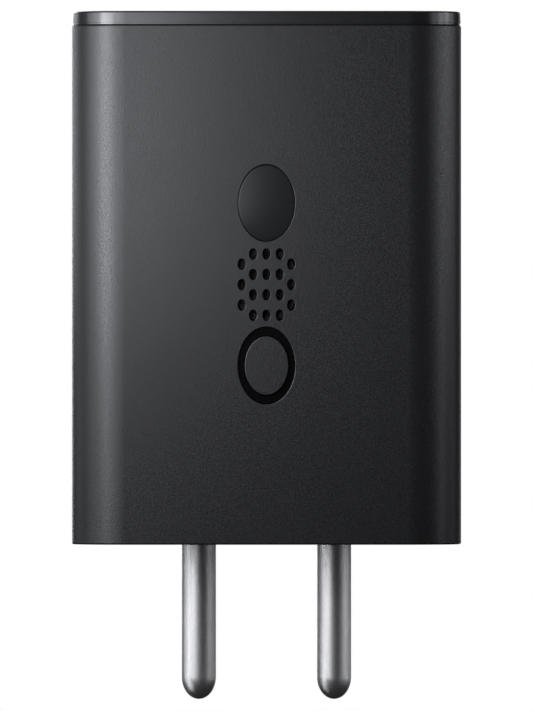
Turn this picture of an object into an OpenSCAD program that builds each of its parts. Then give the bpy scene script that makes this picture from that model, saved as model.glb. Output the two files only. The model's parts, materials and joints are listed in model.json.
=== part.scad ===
// Smart plug: a two-pin mains plug with a switched two-pole outlet in its glossy top cap.
// The front carries an oval power button, a sounder grille and a light ring with a
// pairing button inside it. Units are millimetres.
// Origin: midway between the pins, on the face that meets the wall socket.
// +Z points up to the outlet, +X to the right of the front, and the front faces -Y.

/* [Body] */
// Width of the housing
body_w = 54.5; // [54:0.5:58]
// Depth of the housing, front to back
body_d = 32; // [32:0.5:34]
// Radius of the four upright corners
corner_r = 7.5; // [6.5:0.5:8]
// Height of the matte housing
housing_h = 72.7; // [72:0.1:76]
// Thickness of the housing wall
wall = 2; // [1.8:0.1:2]
// Visible height of the glossy top cap
cap_h = 1.9; // [1.6:0.1:2.4]
// How far the cap stands in from the housing on each side
cap_inset = 0.15; // [0.1:0.05:0.3]
// Height of the shadow gap between the housing and the cap
cap_seam = 0.2; // [0.1:0.05:0.3]
// Depth of the shadow gap under the cap's edge
cap_seam_depth = 0.5; // [0.3:0.1:0.8]
// Thickness of the base plate
base_t = 3; // [2.8:0.1:3]
// Gap round the base plate
base_gap = 0.1; // [0.05:0.05:0.2]

/* [Pins] */
// Diameter of a plug pin
pin_d = 4.8; // [4:0.1:4.8]
// Distance between the pin centres
pin_pitch = 19; // [18.6:0.1:19.2]
// Length of a pin below the base
pin_len = 21.6; // [19:0.1:22]
// Height of the rounded tip of a pin
pin_tip_h = 3.1; // [2.4:0.1:3.6]
// Diameter of the collar that holds a pin in the base
collar_d = 7; // [6.5:0.1:7.5]
// Height of the collar
collar_h = 5; // [4.5:0.1:5]
// Diameter of the riveted tail of a pin
tail_d = 3.2; // [3:0.1:3.4]
// Diameter of a pin where it enters the base
pin_root_d = 5.2; // [5:0.1:5.4]
// Height of the flare at the root of a pin
pin_root_h = 0.5; // [0.4:0.1:0.8]

/* [Front controls] */
// Width of each oval opening
oval_w = 8; // [7.8:0.1:8]
// Height of each oval opening
oval_h = 10.8; // [10.6:0.1:10.8]
// Height of the power button centre above the base
power_z = 47.7; // [47.5:0.1:48]
// Height of the light ring centre above the base
ring_z = 25; // [24.5:0.1:25]
// Width of the hole through the light ring
island_w = 6.3; // [6.1:0.1:6.3]
// Height of the hole through the light ring
island_h = 8.4; // [8.2:0.1:8.4]
// Gap round a push button
button_gap = 0.1; // [0.08:0.01:0.12]
// How far the power button stands below the front face
power_recess = 0.15; // [0.05:0.05:0.25]
// How far the light ring stands below the front face
ring_recess = 0.35; // [0.2:0.05:0.5]
// How far the hidden lip of a button reaches past its opening
button_lip = 0.45; // [0.3:0.05:0.45]

/* [Grille] */
// Height of the grille centre above the base
grille_z = 36.3; // [36.2:0.1:36.4]
// Width of a sound hole
sound_hole_w = 1.1; // [0.9:0.1:1.2]
// Height of a sound hole
sound_hole_h = 1.55; // [1.3:0.05:1.6]
// Distance from the middle column to the next one
inner_column = 1.86; // [1.8:0.01:1.9]
// Distance from the middle column to the outer one
outer_column = 3.45; // [3.4:0.01:3.5]
// Distance between the holes of one column
row_pitch = 2.85; // [2.8:0.01:2.86]
// Width of the pocket behind the grille
pocket_w = 9.4; // [9.2:0.1:9.6]
// Height of the pocket behind the grille
pocket_h = 10.7; // [10.5:0.1:10.7]
// Thickness of the wall that the sound holes pass through
grille_t = 0.8; // [0.6:0.1:1]

/* [Outlet] */
// Diameter of an outlet hole
outlet_d = 5.2; // [5:0.1:5.4]
// Depth of the countersink round an outlet hole
outlet_chamfer = 0.4; // [0.2:0.1:0.6]
// Height of the cap's skirt inside the housing
skirt_h = 3; // [2.5:0.1:3]
// Thickness of the cap's skirt
skirt_t = 1.4; // [1.2:0.1:1.4]
// Length of one shutter blade along the slide
blade_len = 5.4; // [5.3:0.1:5.5]
// Width of one shutter blade
blade_w = 7.4; // [7:0.1:7.4]
// Height of one shutter blade
blade_h = 5.2; // [5:0.1:5.2]
// Outer diameter of the shutter spring
spring_d = 3.2; // [3:0.1:3.2]
// Wire diameter of the shutter spring
spring_wire = 0.4; // [0.3:0.05:0.4]
// Number of turns of the shutter spring
spring_turns = 5; // [4:1:6]
// Outer diameter of an outlet contact
contact_d = 6.4; // [6.2:0.1:6.6]
// Thickness of the contact and strap metal
metal_t = 0.8; // [0.6:0.1:0.8]
// Width of the contact legs and straps
strap_w = 5; // [4:0.5:5]

/* [Circuit boards] */
// Width of the control board
control_w = 34; // [33:0.5:36]
// Lowest edge of the control board
control_low = 12; // [12:0.5:13]
// Highest edge of the control board
control_high = 53; // [52.5:0.5:53]
// Thickness of the control board
control_t = 1.2; // [1:0.1:1.2]
// Clear space between the front wall and the control board
control_gap = 4.4; // [4.4:0.1:4.6]
// Width of the power board
power_board_w = 46; // [45:0.5:46]
// Highest edge of the power board
power_board_high = 52; // [51:0.5:53]
// Thickness of the power board
power_board_t = 1.6; // [1.4:0.1:1.6]
// Distance from the middle of the body to the front of the power board
power_board_y = 9.6; // [9.6:0.1:9.8]

/* [Relay] */
// Width, depth and height of the relay
relay_size = [15.5, 14.5, 19]; // [14:0.5:19]
// Wall of the relay cover
relay_wall = 0.7; // [0.6:0.1:0.8]
// Diameter of the relay coil
coil_d = 8.4; // [8:0.1:8.4]
// Thickness of the relay's magnet iron
iron_t = 0.9; // [0.8:0.1:1]
// Gap between the armature and the coil's core
armature_gap = 0.6; // [0.5:0.1:0.7]

/* [Hidden] */
$fn = 64;

// Colours
matte_black = [0.16, 0.165, 0.17];
gloss_black = [0.05, 0.05, 0.055];
smoke = [0.08, 0.08, 0.09];
nickel = [0.78, 0.77, 0.75];
brass = [0.80, 0.66, 0.34];
steel = [0.62, 0.63, 0.65];
copper = [0.72, 0.42, 0.24];
ferrite = [0.20, 0.20, 0.21];
board_green = [0.07, 0.30, 0.18];
ivory = [0.88, 0.87, 0.82];
foam_grey = [0.22, 0.22, 0.23];
part_blue = [0.16, 0.30, 0.55];
cap_yellow = [0.85, 0.70, 0.15];

// Body planes: a point is inside the shell between them
over = 1; // how far a cutting shape runs past the face that it cuts
fuse_in = 0.3; // how far an added shape runs into the wall that carries it
front_y = -body_d / 2;
inner_front = front_y + wall;
cavity_w = body_w - 2 * wall;
cavity_d = body_d - 2 * wall;
cavity_r = corner_r - wall;
cap_top = housing_h + cap_h;
half_pitch = pin_pitch / 2;

// Control board planes
control_front = inner_front + control_gap;
control_back = control_front + control_t;
control_screw_x = 14;
control_screw_low = control_low + 4;
control_screw_high = control_high - 3;
standoff_d = 4.6;
screw_play = 0.05;
small_shank_d = 1.7;
small_head_d = 3.8;
small_head_h = 1.4;
through_play = 0.3; // clearance on the diameter of a through hole

// Push buttons, switches and their plungers
switch_w = 4.5;
switch_t = 2;
plunger_d = 2.4;
plunger_t = 0.8;
lip_play = 0.05;
lip_t = 0.85;
lip_front = inner_front + lip_play;
plunger_tip = control_front - switch_t - plunger_t;
button_end = plunger_tip - lip_play;
stem_d = 3;
ring_lip_t = 0.8;
ring_lip_back = inner_front + ring_lip_t;
guide_post_d = 1.4;
guide_post_x = 4.4;
guide_post_z = 5.25;
pairing_lip_w = 0.35;
pairing_lip_h = 0.2;
led_t = 0.7;
led_size = [1.6, 0.8];
led_play = 0.1;
plunger_foot = 1;

// Grille stack, front to back: wall, mesh, gasket, sounder
mesh_t = 0.2;
mesh_play = 0.1;
gasket_back = inner_front + 0.8;

// Base fastening
base_screw_x = 20;
base_boss_d = 6;
base_boss_top = 13;
boss_roof = 1;
base_hole_spare = 2; // free hole beyond the end of a base screw
base_shank_d = 2.5;
base_head_d = 4.2;
base_head_h = 1.5;
base_head_sink = 0.3;
tower_d = 10;
collar_play = 0.1;
pin_play = 0.05;
rivet_d = 4.4;
rivet_h = 0.8;
strap_rise = 5.2;

// Cap, carrier, shutter and contacts
skirt_gap = 0.15;
skirt_w = cavity_w - 2 * skirt_gap;
skirt_d = cavity_d - 2 * skirt_gap;
skirt_r = cavity_r - skirt_gap;
skirt_low = housing_h - skirt_h;
hook_x = 16;
hook_w = 6;
hook_low = skirt_low - 3;
barb = 0.75;
barb_low = hook_low + 0.5;
barb_h = 1;
pocket_play = 0.2;
outlet_boss_d = 9;
outlet_boss_low = housing_h - 2;
carrier_top = outlet_boss_low;
carrier_bottom = 54;
carrier_x = 15;
carrier_wall = 1.6;
hollow_x = 5;
carrier_front = -5.6;
carrier_back = 12.2;
chamber_floor = 64.6;
chamber_play = 0.3;
chamber_back = 11;
ear_z = chamber_floor + 0.1;
ear_t = 2;
ear_x = 17.5;
ear_w = 5;
ear_shank_d = 2.2;
ear_head_d = 4;
ear_head_h = 1.5;
ear_half_d = 3;
cap_boss_d = 4.8;
cap_hole_top = housing_h - 1;
shutter_low = chamber_floor + chamber_play;
bridge_t = 1.6;
bridge_h = 3.1;
spring_z = chamber_floor + spring_d / 2 + 0.1;
spring_front = blade_len / 2;
peg_d = 1.8;
peg_len = 1.2;
contact_low = 56;
contact_high = chamber_floor - 0.2;
leg_low = 46;
well_play = 0.3;

// Power board parts, placed by the middle of each, as [x, z]
board_low = base_t + 0.2;
rail_t = 1.1;
rail_play = 0.1;
rail_reach = 22;
rail_top = 50;
relay_at = [-13.25, 35.5];
relay_base_t = 1.5;
header_x = -1.5;
header_z = 35.5;
header_pins = 6;
header_pitch = 2.54;
header_w = 2.5;
header_pin_w = 0.64;
header_pin_end = 6;
header_play = 0.08;
header_spare = 0.5;
socket_depth = 8.5;
transformer_at = [12.5, 35];
input_capacitor_at = [16.5, 21];
output_capacitor_at = [7.2, 18.6];
x_capacitor_at = [-14.5, 18];
fuse_at = [-14.5, 23.3];
varistor_at = [-2, 20];
rectifier_at = [6.8, 25.2];
choke_at = [17.5, 47];
transformer_y = power_board_y - 6.5;

// ---- shared shapes ----

module rounded_rect(w, d, r) {
    square([w - 2 * r, d], center = true);
    square([w, d - 2 * r], center = true);
    for (sx = [-1, 1], sy = [-1, 1])
        translate([sx * (w / 2 - r), sy * (d / 2 - r)])
            circle(r = r);
}

// An upright slab with rounded corners, from z = low to z = high
module slab(w, d, r, low, high) {
    translate([0, 0, low])
        linear_extrude(high - low)
            rounded_rect(w, d, r);
}

// A plain block between two opposite corners
module block(low, high) {
    translate(low)
        cube(high - low);
}

// An oval prism along Y, from the front plane y0 to the back plane y1
module oval(w, h, y0, y1, z) {
    translate([0, y1, z])
        rotate([90, 0, 0])
            linear_extrude(y1 - y0)
                scale([w / 2, h / 2])
                    circle(r = 1);
}

// A round rod along Y, from the front plane y0 to the back plane y1
module rod_y(d, y0, y1, x, z) {
    translate([x, y1, z])
        rotate([90, 0, 0])
            cylinder(d = d, h = y1 - y0);
}

// An upright round rod
module rod_z(d, low, high, x, y) {
    translate([x, y, low])
        cylinder(d = d, h = high - low);
}

// A rounded board that stands upright, from y0 to y1
module upright_board(w, low, high, y0, y1) {
    board_corner = 1.5;
    translate([0, y1, (low + high) / 2])
        rotate([90, 0, 0])
            linear_extrude(y1 - y0)
                rounded_rect(w, high - low, board_corner);
}

// A screw along +Z with a cross recess: its head starts at z = 0
module screw(head_d, head_h, shank_d, shank_len) {
    slot_w = head_d / 6;
    slot_len = head_d * 0.6;
    slot_depth = head_h / 2;
    difference() {
        union() {
            cylinder(d = head_d, h = head_h);
            cylinder(d = shank_d, h = head_h + shank_len);
        }
        for (turn = [0, 90])
            rotate([0, 0, turn])
                translate([-slot_len / 2, -slot_w / 2, -over])
                    cube([slot_len, slot_w, over + slot_depth]);
    }
}

// ---- shell ----

// The holes of the grille: four holes in each of three middle columns, three in each outer one
module sound_holes(y0, y1) {
    for (column = [-1, 0, 1], row = [-1.5, -0.5, 0.5, 1.5])
        translate([column * inner_column, 0, 0])
            oval(sound_hole_w, sound_hole_h, y0, y1, grille_z + row * row_pitch);
    for (column = [-1, 1], row = [-1, 0, 1])
        translate([column * outer_column, 0, 0])
            oval(sound_hole_w, sound_hole_h, y0, y1, grille_z + row * row_pitch);
}

module control_screw_places() {
    for (x = [-control_screw_x, control_screw_x], z = [control_screw_low, control_screw_high])
        translate([x, 0, z])
            children();
}

module housing_bosses() {
    for (side = [-1, 1]) {
        rod_z(base_boss_d, base_t, base_boss_top, side * base_screw_x, 0);
        translate([side * (base_screw_x + cavity_w / 2 + fuse_in) / 2, 0, (base_t + base_boss_top) / 2])
            cube([cavity_w / 2 + fuse_in - base_screw_x, base_boss_d / 2, base_boss_top - base_t],
                center = true);
    }
    control_screw_places()
        rod_y(standoff_d, inner_front - fuse_in, control_front, 0, 0);
}

// Two ribs on each side wall hold the edges of the power board
module board_rails() {
    rail_len = cavity_w / 2 + fuse_in - rail_reach;
    for (side = [0, 1])
        mirror([side, 0, 0])
            for (y = [power_board_y - rail_play - rail_t, power_board_y + power_board_t + rail_play])
                translate([rail_reach, y, base_t])
                    cube([rail_len, rail_t, rail_top - base_t]);
}

// Two upright ribs beside the hidden lip of the power button
module button_guides() {
    guide_play = 0.15;
    guide_x = oval_w / 2 + button_lip + guide_play;
    guide_h = 8;
    guide_t = 1;
    guide_deep = 2;
    for (side = [0, 1])
        mirror([side, 0, 0])
            block([guide_x, inner_front - fuse_in, power_z - guide_h / 2],
                [guide_x + guide_t, inner_front + guide_deep, power_z + guide_h / 2]);
}

// Pockets in the housing wall that the cap's hooks snap into
module hook_pockets() {
    for (x = [-hook_x, hook_x], side = [0, 1])
        mirror([0, side, 0])
            block([x - hook_w / 2 - pocket_play, cavity_d / 2 - over, barb_low - pocket_play],
                [x + hook_w / 2 + pocket_play, cavity_d / 2 + barb, barb_low + barb_h + pocket_play]);
}

module housing() {
    color(matte_black)
        difference() {
            union() {
                difference() {
                    slab(body_w, body_d, corner_r, 0, housing_h);
                    slab(cavity_w, cavity_d, cavity_r, -over, housing_h + over);
                }
                housing_bosses();
                board_rails();
                button_guides();
            }
            oval(oval_w, oval_h, front_y - over, inner_front + over, power_z);
            oval(oval_w, oval_h, front_y - over, inner_front + over, ring_z);
            sound_holes(front_y - over, inner_front);
            oval(pocket_w, pocket_h, front_y + grille_t, inner_front + over, grille_z);
            hook_pockets();
            for (side = [-1, 1])
                rod_z(base_shank_d + 2 * screw_play, base_t - over, base_boss_top - boss_roof,
                    side * base_screw_x, 0);
            control_screw_places()
                rod_y(small_shank_d + 2 * screw_play, inner_front, control_front + over, 0, 0);
        }
}

module cap_hooks() {
    hook_back = skirt_d / 2;
    for (x = [-hook_x, hook_x], side = [0, 1])
        mirror([0, side, 0]) {
            block([x - hook_w / 2, hook_back - skirt_t, hook_low],
                [x + hook_w / 2, hook_back, skirt_low + fuse_in]);
            block([x - hook_w / 2, hook_back - fuse_in, barb_low],
                [x + hook_w / 2, hook_back + barb, barb_low + barb_h]);
        }
}

module top_cap() {
    neck_inset = cap_inset + cap_seam_depth;
    color(gloss_black)
        difference() {
            union() {
                slab(body_w - 2 * cap_inset, body_d - 2 * cap_inset, corner_r - cap_inset,
                    housing_h + cap_seam, cap_top);
                slab(body_w - 2 * neck_inset, body_d - 2 * neck_inset, corner_r - neck_inset,
                    housing_h, housing_h + 2 * cap_seam);
                difference() {
                    slab(skirt_w, skirt_d, skirt_r, skirt_low, housing_h + fuse_in);
                    slab(skirt_w - 2 * skirt_t, skirt_d - 2 * skirt_t, skirt_r - skirt_t,
                        skirt_low - over, housing_h);
                }
                cap_hooks();
                for (side = [-1, 1]) {
                    rod_z(outlet_boss_d, outlet_boss_low, housing_h + fuse_in, side * half_pitch, 0);
                    rod_z(cap_boss_d, ear_z + ear_t, housing_h + fuse_in, side * ear_x, 0);
                }
            }
            for (side = [-1, 1]) {
                rod_z(outlet_d, outlet_boss_low - over, cap_top + over, side * half_pitch, 0);
                translate([side * half_pitch, 0, cap_top - outlet_chamfer])
                    cylinder(d1 = outlet_d, d2 = outlet_d + 4 * outlet_chamfer, h = 2 * outlet_chamfer);
                rod_z(ear_shank_d + 2 * screw_play, ear_z - over, cap_hole_top, side * ear_x, 0);
            }
        }
}

module base_plate() {
    tower_top = base_t + collar_h;
    color(matte_black)
        difference() {
            union() {
                slab(cavity_w - 2 * base_gap, cavity_d - 2 * base_gap, cavity_r - base_gap, 0, base_t);
                for (side = [-1, 1])
                    rod_z(tower_d, 0, tower_top, side * half_pitch, 0);
            }
            for (side = [-1, 1]) {
                rod_z(pin_root_d + 2 * pin_play, -over, base_t + over, side * half_pitch, 0);
                rod_z(collar_d + 2 * collar_play, base_t, tower_top + over, side * half_pitch, 0);
                rod_z(base_shank_d + through_play, -over, base_t + over, side * base_screw_x, 0);
                rod_z(base_head_d + through_play, -over, base_head_sink + base_head_h,
                    side * base_screw_x, 0);
            }
        }
}

module base_screws() {
    shank_len = base_boss_top - base_head_h - base_hole_spare;
    color(steel)
        for (side = [-1, 1])
            translate([side * base_screw_x, 0, base_head_sink])
                screw(base_head_d, base_head_h, base_shank_d, shank_len);
}

// A solid pin: rounded tip, straight shank, flared root, collar inside the base and riveted tail
module plug_pin() {
    straight = pin_len - pin_tip_h;
    collar_top = base_t + collar_h;
    tail_top = collar_top + metal_t;
    color(nickel) {
        rod_z(pin_d, -straight, 0, 0, 0);
        translate([0, 0, -pin_root_h])
            cylinder(d1 = pin_d, d2 = pin_root_d, h = pin_root_h);
        rod_z(pin_root_d, 0, base_t + fuse_in, 0, 0);
        translate([0, 0, -straight])
            intersection() {
                scale([1, 1, 2 * pin_tip_h / pin_d])
                    sphere(d = pin_d);
                translate([0, 0, -pin_len])
                    cylinder(d = 2 * pin_d, h = pin_len);
            }
        rod_z(collar_d, base_t, collar_top, 0, 0);
        rod_z(tail_d, collar_top, tail_top, 0, 0);
        rod_z(rivet_d, tail_top, tail_top + rivet_h, 0, 0);
    }
}

module pin_left() {
    translate([-half_pitch, 0, 0])
        plug_pin();
}

module pin_right() {
    translate([half_pitch, 0, 0])
        plug_pin();
}

// ---- front controls ----

module power_button() {
    color(gloss_black) {
        oval(oval_w - 2 * button_gap, oval_h - 2 * button_gap, front_y + power_recess,
            lip_front + fuse_in, power_z);
        oval(oval_w + 2 * button_lip, oval_h + 2 * button_lip, lip_front, lip_front + lip_t, power_z);
        rod_y(stem_d, lip_front, button_end, 0, power_z);
    }
}

// The oval island inside the light ring. Its lip sits behind the ring.
module pairing_button() {
    lip_y = ring_lip_back + lip_play;
    color(matte_black) {
        oval(island_w - 2 * button_gap, island_h - 2 * button_gap, front_y, lip_y + fuse_in / 2, ring_z);
        oval(island_w + 2 * pairing_lip_w, island_h + 2 * pairing_lip_h, lip_y, button_end, ring_z);
    }
}

module ring_light_guide() {
    edge_gap = 0.05;
    post_end = control_front - led_t - led_play;
    color(smoke)
        difference() {
            union() {
                oval(oval_w - 2 * edge_gap, oval_h - 2 * edge_gap, front_y + ring_recess,
                    inner_front + fuse_in, ring_z);
                oval(oval_w + 2 * button_lip, oval_h + 2 * button_lip, inner_front, ring_lip_back, ring_z);
                for (side = [-1, 1]) {
                    rod_y(guide_post_d, inner_front, post_end, side * guide_post_x, ring_z);
                    rod_y(guide_post_d, inner_front, post_end, 0, ring_z + side * guide_post_z);
                }
            }
            oval(island_w, island_h, front_y - over, ring_lip_back + over / 2, ring_z);
        }
}

module grille_mesh() {
    color(foam_grey)
        oval(pocket_w - mesh_play, pocket_h - mesh_play, front_y + grille_t,
            front_y + grille_t + mesh_t, grille_z);
}

module buzzer_gasket() {
    mesh_back = front_y + grille_t + mesh_t;
    side_wall = 1;
    end_wall = 0.85;
    color(foam_grey)
        difference() {
            oval(pocket_w - mesh_play, pocket_h - mesh_play, mesh_back, gasket_back, grille_z);
            oval(pocket_w - 2 * side_wall, pocket_h - 2 * end_wall, mesh_back - over,
                gasket_back + over, grille_z);
        }
}

module buzzer() {
    buzzer_d = 9;
    port_d = 2;
    port_deep = 1;
    color(gloss_black)
        difference() {
            rod_y(buzzer_d, gasket_back, control_front, 0, grille_z);
            rod_y(port_d, gasket_back - over, gasket_back + port_deep, 0, grille_z);
        }
}

// ---- control board ----

module control_board() {
    color(board_green)
        difference() {
            upright_board(control_w, control_low, control_high, control_front, control_back);
            control_screw_places()
                rod_y(small_shank_d + through_play, control_front - over, control_back + over, 0, 0);
        }
}

module control_board_screws() {
    thread_in_post = 3;
    shank_len = control_t + thread_in_post;
    color(steel)
        control_screw_places()
            translate([0, control_back + small_head_h, 0])
                rotate([90, 0, 0])
                    screw(small_head_d, small_head_h, small_shank_d, shank_len);
}

// A square tact switch with a metal face and four feet
module switch_body(z) {
    foot = 0.6;
    foot_z = 1.6;
    well_floor = 0.5;
    half = switch_w / 2;
    color(steel)
        difference() {
            union() {
                block([-half, control_front - switch_t, z - half], [half, control_front, z + half]);
                for (sx = [-1, 1], sz = [-1, 1])
                    translate([sx * (half + foot / 2), control_front - foot / 2, z + sz * foot_z])
                        cube([foot, foot, foot], center = true);
            }
            rod_y(plunger_d + through_play, control_front - switch_t - over,
                control_front - well_floor, 0, z);
        }
}

module switch_plunger(z) {
    color(gloss_black)
        rod_y(plunger_d, plunger_tip, control_front - plunger_foot, 0, z);
}

module power_switch() {
    switch_body(power_z);
}

module power_switch_plunger() {
    switch_plunger(power_z);
}

module pairing_switch() {
    switch_body(ring_z);
}

module pairing_switch_plunger() {
    switch_plunger(ring_z);
}

module status_led() {
    translate([-led_size[0] / 2, control_front - led_t, -led_size[1] / 2])
        cube([led_size[0], led_t, led_size[1]]);
}

// One small lamp behind each foot of the light guide
module status_leds() {
    color(ivory)
        for (side = [-1, 1]) {
            translate([side * guide_post_x, 0, ring_z])
                status_led();
            translate([0, 0, ring_z + side * guide_post_z])
                status_led();
        }
}

// A radio module: a small board with a metal shield, and an antenna track left bare at one end
module wifi_module() {
    module_w = 22;
    module_h = 14.4;
    module_low = control_low + 0.8;
    board_t = 0.8;
    shield_w = 15;
    shield_t = 2.4;
    shield_edge = 1;
    track_t = 0.1;
    track_w = 0.8;
    track_pitch = 3;
    track_low = module_low + 2;
    track_left = module_w / 2 - 5;
    track_right = module_w / 2 - 1;
    color(steel) {
        block([-module_w / 2, control_back, module_low],
            [module_w / 2, control_back + board_t, module_low + module_h]);
        block([-module_w / 2 + shield_edge, control_back + board_t, module_low + shield_edge],
            [-module_w / 2 + shield_edge + shield_w, control_back + board_t + shield_t,
                module_low + module_h - shield_edge]);
        for (step = [0:3])
            block([track_left, control_back + board_t, track_low + step * track_pitch],
                [track_right, control_back + board_t + track_t,
                    track_low + step * track_pitch + track_w]);
    }
}

function header_pin_z(i) = header_z + (i - (header_pins - 1) / 2) * header_pitch;

// Pin header that joins the control board to the power board
module board_header() {
    half_len = header_pins * header_pitch / 2;
    pin_start = control_back + 1;
    color(brass) {
        block([header_x - header_w / 2, control_back, header_z - half_len],
            [header_x + header_w / 2, control_back + header_w, header_z + half_len]);
        for (i = [0:header_pins - 1])
            block([header_x - header_pin_w / 2, pin_start, header_pin_z(i) - header_pin_w / 2],
                [header_x + header_pin_w / 2, header_pin_end, header_pin_z(i) + header_pin_w / 2]);
    }
}

module header_socket() {
    half_len = header_pins * header_pitch / 2;
    hole = header_pin_w + 2 * header_play;
    hole_back = header_pin_end + header_spare;
    socket_front = power_board_y - socket_depth;
    color(gloss_black)
        difference() {
            block([header_x - header_w / 2, socket_front, header_z - half_len],
                [header_x + header_w / 2, power_board_y, header_z + half_len]);
            for (i = [0:header_pins - 1])
                block([header_x - hole / 2, socket_front - over, header_pin_z(i) - hole / 2],
                    [header_x + hole / 2, hole_back, header_pin_z(i) + hole / 2]);
        }
}

// ---- power board ----

module power_board() {
    color(board_green)
        upright_board(power_board_w, board_low, power_board_high, power_board_y,
            power_board_y + power_board_t);
}

// A strap from the riveted tail of a pin to the power board
module pin_strap() {
    low = base_t + collar_h;
    eye_d = 6.4;
    color(brass)
        difference() {
            union() {
                rod_z(eye_d, low, low + metal_t, 0, 0);
                block([-strap_w / 2, 0, low], [strap_w / 2, power_board_y, low + metal_t]);
                block([-strap_w / 2, power_board_y - metal_t, low],
                    [strap_w / 2, power_board_y, low + metal_t + strap_rise]);
            }
            rod_z(tail_d + 2 * screw_play, low - over, low + metal_t + over, 0, 0);
        }
}

module strap_left() {
    translate([-half_pitch, 0, 0])
        pin_strap();
}

module strap_right() {
    translate([half_pitch, 0, 0])
        pin_strap();
}

// Relay planes: the cover is open towards the board, and the base closes it
relay_low = [relay_at[0] - relay_size[0] / 2, power_board_y - relay_size[1], relay_at[1] - relay_size[2] / 2];
relay_high = [relay_at[0] + relay_size[0] / 2, power_board_y, relay_at[1] + relay_size[2] / 2];
relay_base_y = power_board_y - relay_base_t;
coil_to_side = 5;
coil_rise = 0.5;
coil_x = relay_low[0] + coil_to_side;
coil_z = relay_at[1] + coil_rise;
yoke_w = 8;
yoke_head_room = 2;
yoke_foot_room = 4;
yoke_top = relay_high[2] - yoke_head_room;
yoke_low = relay_low[2] + yoke_foot_room;
core_to_front = 3.5;
core_face = relay_low[1] + core_to_front;
leg_end = core_face - armature_gap;
play = 0.05;
core_d = 3;
armature_reach = 3.5; // below the middle of the coil
blade_t = 0.3;
contact_to_side = 3;
contact_to_foot = 6;
contact_x = relay_high[0] - contact_to_side;
contact_z = relay_low[2] + contact_to_foot;
contact_button_d = 2.4;
contact_button_t = 0.6;
contact_clear = 0.75;

module relay_base() {
    color(ivory)
        block([relay_low[0], relay_base_y, relay_low[2]], relay_high);
}

module relay_cover() {
    inside = [relay_wall, relay_wall, relay_wall];
    color(part_blue)
        difference() {
            block(relay_low, [relay_high[0], relay_base_y, relay_high[2]]);
            block(relay_low + inside, [relay_high[0] - relay_wall, relay_base_y + over,
                relay_high[2] - relay_wall]);
        }
}

// Winding with a flange at each end, round the bore for the core
module relay_coil() {
    core_nose = 0.4;
    back = relay_base_y - iron_t;
    front = core_face + core_nose;
    flange_t = 0.7;
    flange_reach = 0.5;
    color(copper)
        difference() {
            union() {
                rod_y(coil_d - 2 * flange_reach, front, back, coil_x, coil_z);
                rod_y(coil_d, front, front + flange_t, coil_x, coil_z);
                rod_y(coil_d, back - flange_t, back, coil_x, coil_z);
            }
            rod_y(core_d + 2 * play, front - over, back + over, coil_x, coil_z);
        }
}

// L-shaped iron with the core riveted to it
module relay_yoke() {
    half = yoke_w / 2;
    color(steel) {
        block([coil_x - half, relay_base_y - iron_t, yoke_low], [coil_x + half, relay_base_y, yoke_top]);
        block([coil_x - half, leg_end, yoke_top - iron_t], [coil_x + half, relay_base_y - play, yoke_top]);
        rod_y(core_d, core_face, relay_base_y - play, coil_x, coil_z);
    }
}

// Iron flap in front of the core. It turns about the end of the yoke's leg.
module relay_armature() {
    half = yoke_w / 2;
    color(steel)
        block([coil_x - half, leg_end - play - iron_t, coil_z - armature_reach],
            [coil_x + half, leg_end - play, yoke_top]);
}

// Springy contact arm on the armature, with a contact button that faces the fixed one
module relay_contact_blade() {
    back = leg_end - play - iron_t;
    front = back - blade_t;
    pad = 3;
    arm = 1.5;
    arm_end = contact_x + 1.4;
    pad_top = yoke_top - 2;
    color(copper) {
        block([coil_x - pad, front, coil_z - pad], [coil_x + pad, back, pad_top]);
        block([coil_x, front, contact_z - arm], [arm_end, back, contact_z + arm]);
        block([coil_x, front, contact_z - arm], [coil_x + pad, back, coil_z]);
        rod_y(contact_button_d, back - blade_t / 2, back + contact_button_t, contact_x, contact_z);
    }
}

module relay_fixed_contact() {
    face = leg_end - play - iron_t + contact_button_t + contact_clear;
    post_t = 0.8;
    half = 1.4;
    color(copper) {
        rod_y(contact_button_d, face, face + contact_button_t, contact_x, contact_z);
        block([contact_x - half, face + contact_button_t / 2, contact_z - half],
            [contact_x + half, face + contact_button_t + post_t, contact_z + half]);
        block([contact_x + half - post_t, face + contact_button_t, contact_z - half],
            [contact_x + half, relay_base_y, contact_z + half]);
    }
}

// Transformer: two E cores, a bobbin round the middle leg, and the winding on it
core_half = [7, 3, 6.5];
core_leg = 1.8;
window_x = 5.2;
window_z = 4.3;
bobbin_r = 5.1;
bobbin_flange_t = 0.55;
bobbin_tube_r = 3.7;

module transformer_place() {
    translate([transformer_at[0], transformer_y, transformer_at[1]])
        children();
}

module transformer_core() {
    color(ferrite)
        transformer_place()
            difference() {
                cube(2 * core_half, center = true);
                for (side = [0, 1])
                    mirror([side, 0, 0])
                        block([core_leg, -core_half[1] - over, -window_z],
                            [window_x, core_half[1] + over, window_z]);
            }
}

module core_leg_hole() {
    cube([2 * (core_leg + play), 2 * (core_half[1] + play), 4 * window_z], center = true);
}

module transformer_bobbin() {
    z = window_z - play;
    lug = 4.5;
    lug_front = 3.2;
    color(ivory)
        transformer_place() {
            difference() {
                union() {
                    rod_z(2 * bobbin_tube_r, -z, z, 0, 0);
                    rod_z(2 * bobbin_r, z - bobbin_flange_t, z, 0, 0);
                    rod_z(2 * bobbin_r, -z, bobbin_flange_t - z, 0, 0);
                    block([-lug, lug_front, -z], [lug, bobbin_r, bobbin_flange_t - z]);
                    block([-lug, lug_front, z - bobbin_flange_t], [lug, bobbin_r, z]);
                }
                core_leg_hole();
            }
            block([-core_half[0], bobbin_r - 0.1, -core_half[2]],
                [core_half[0], power_board_y - transformer_y, core_half[2]]);
        }
}

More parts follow.
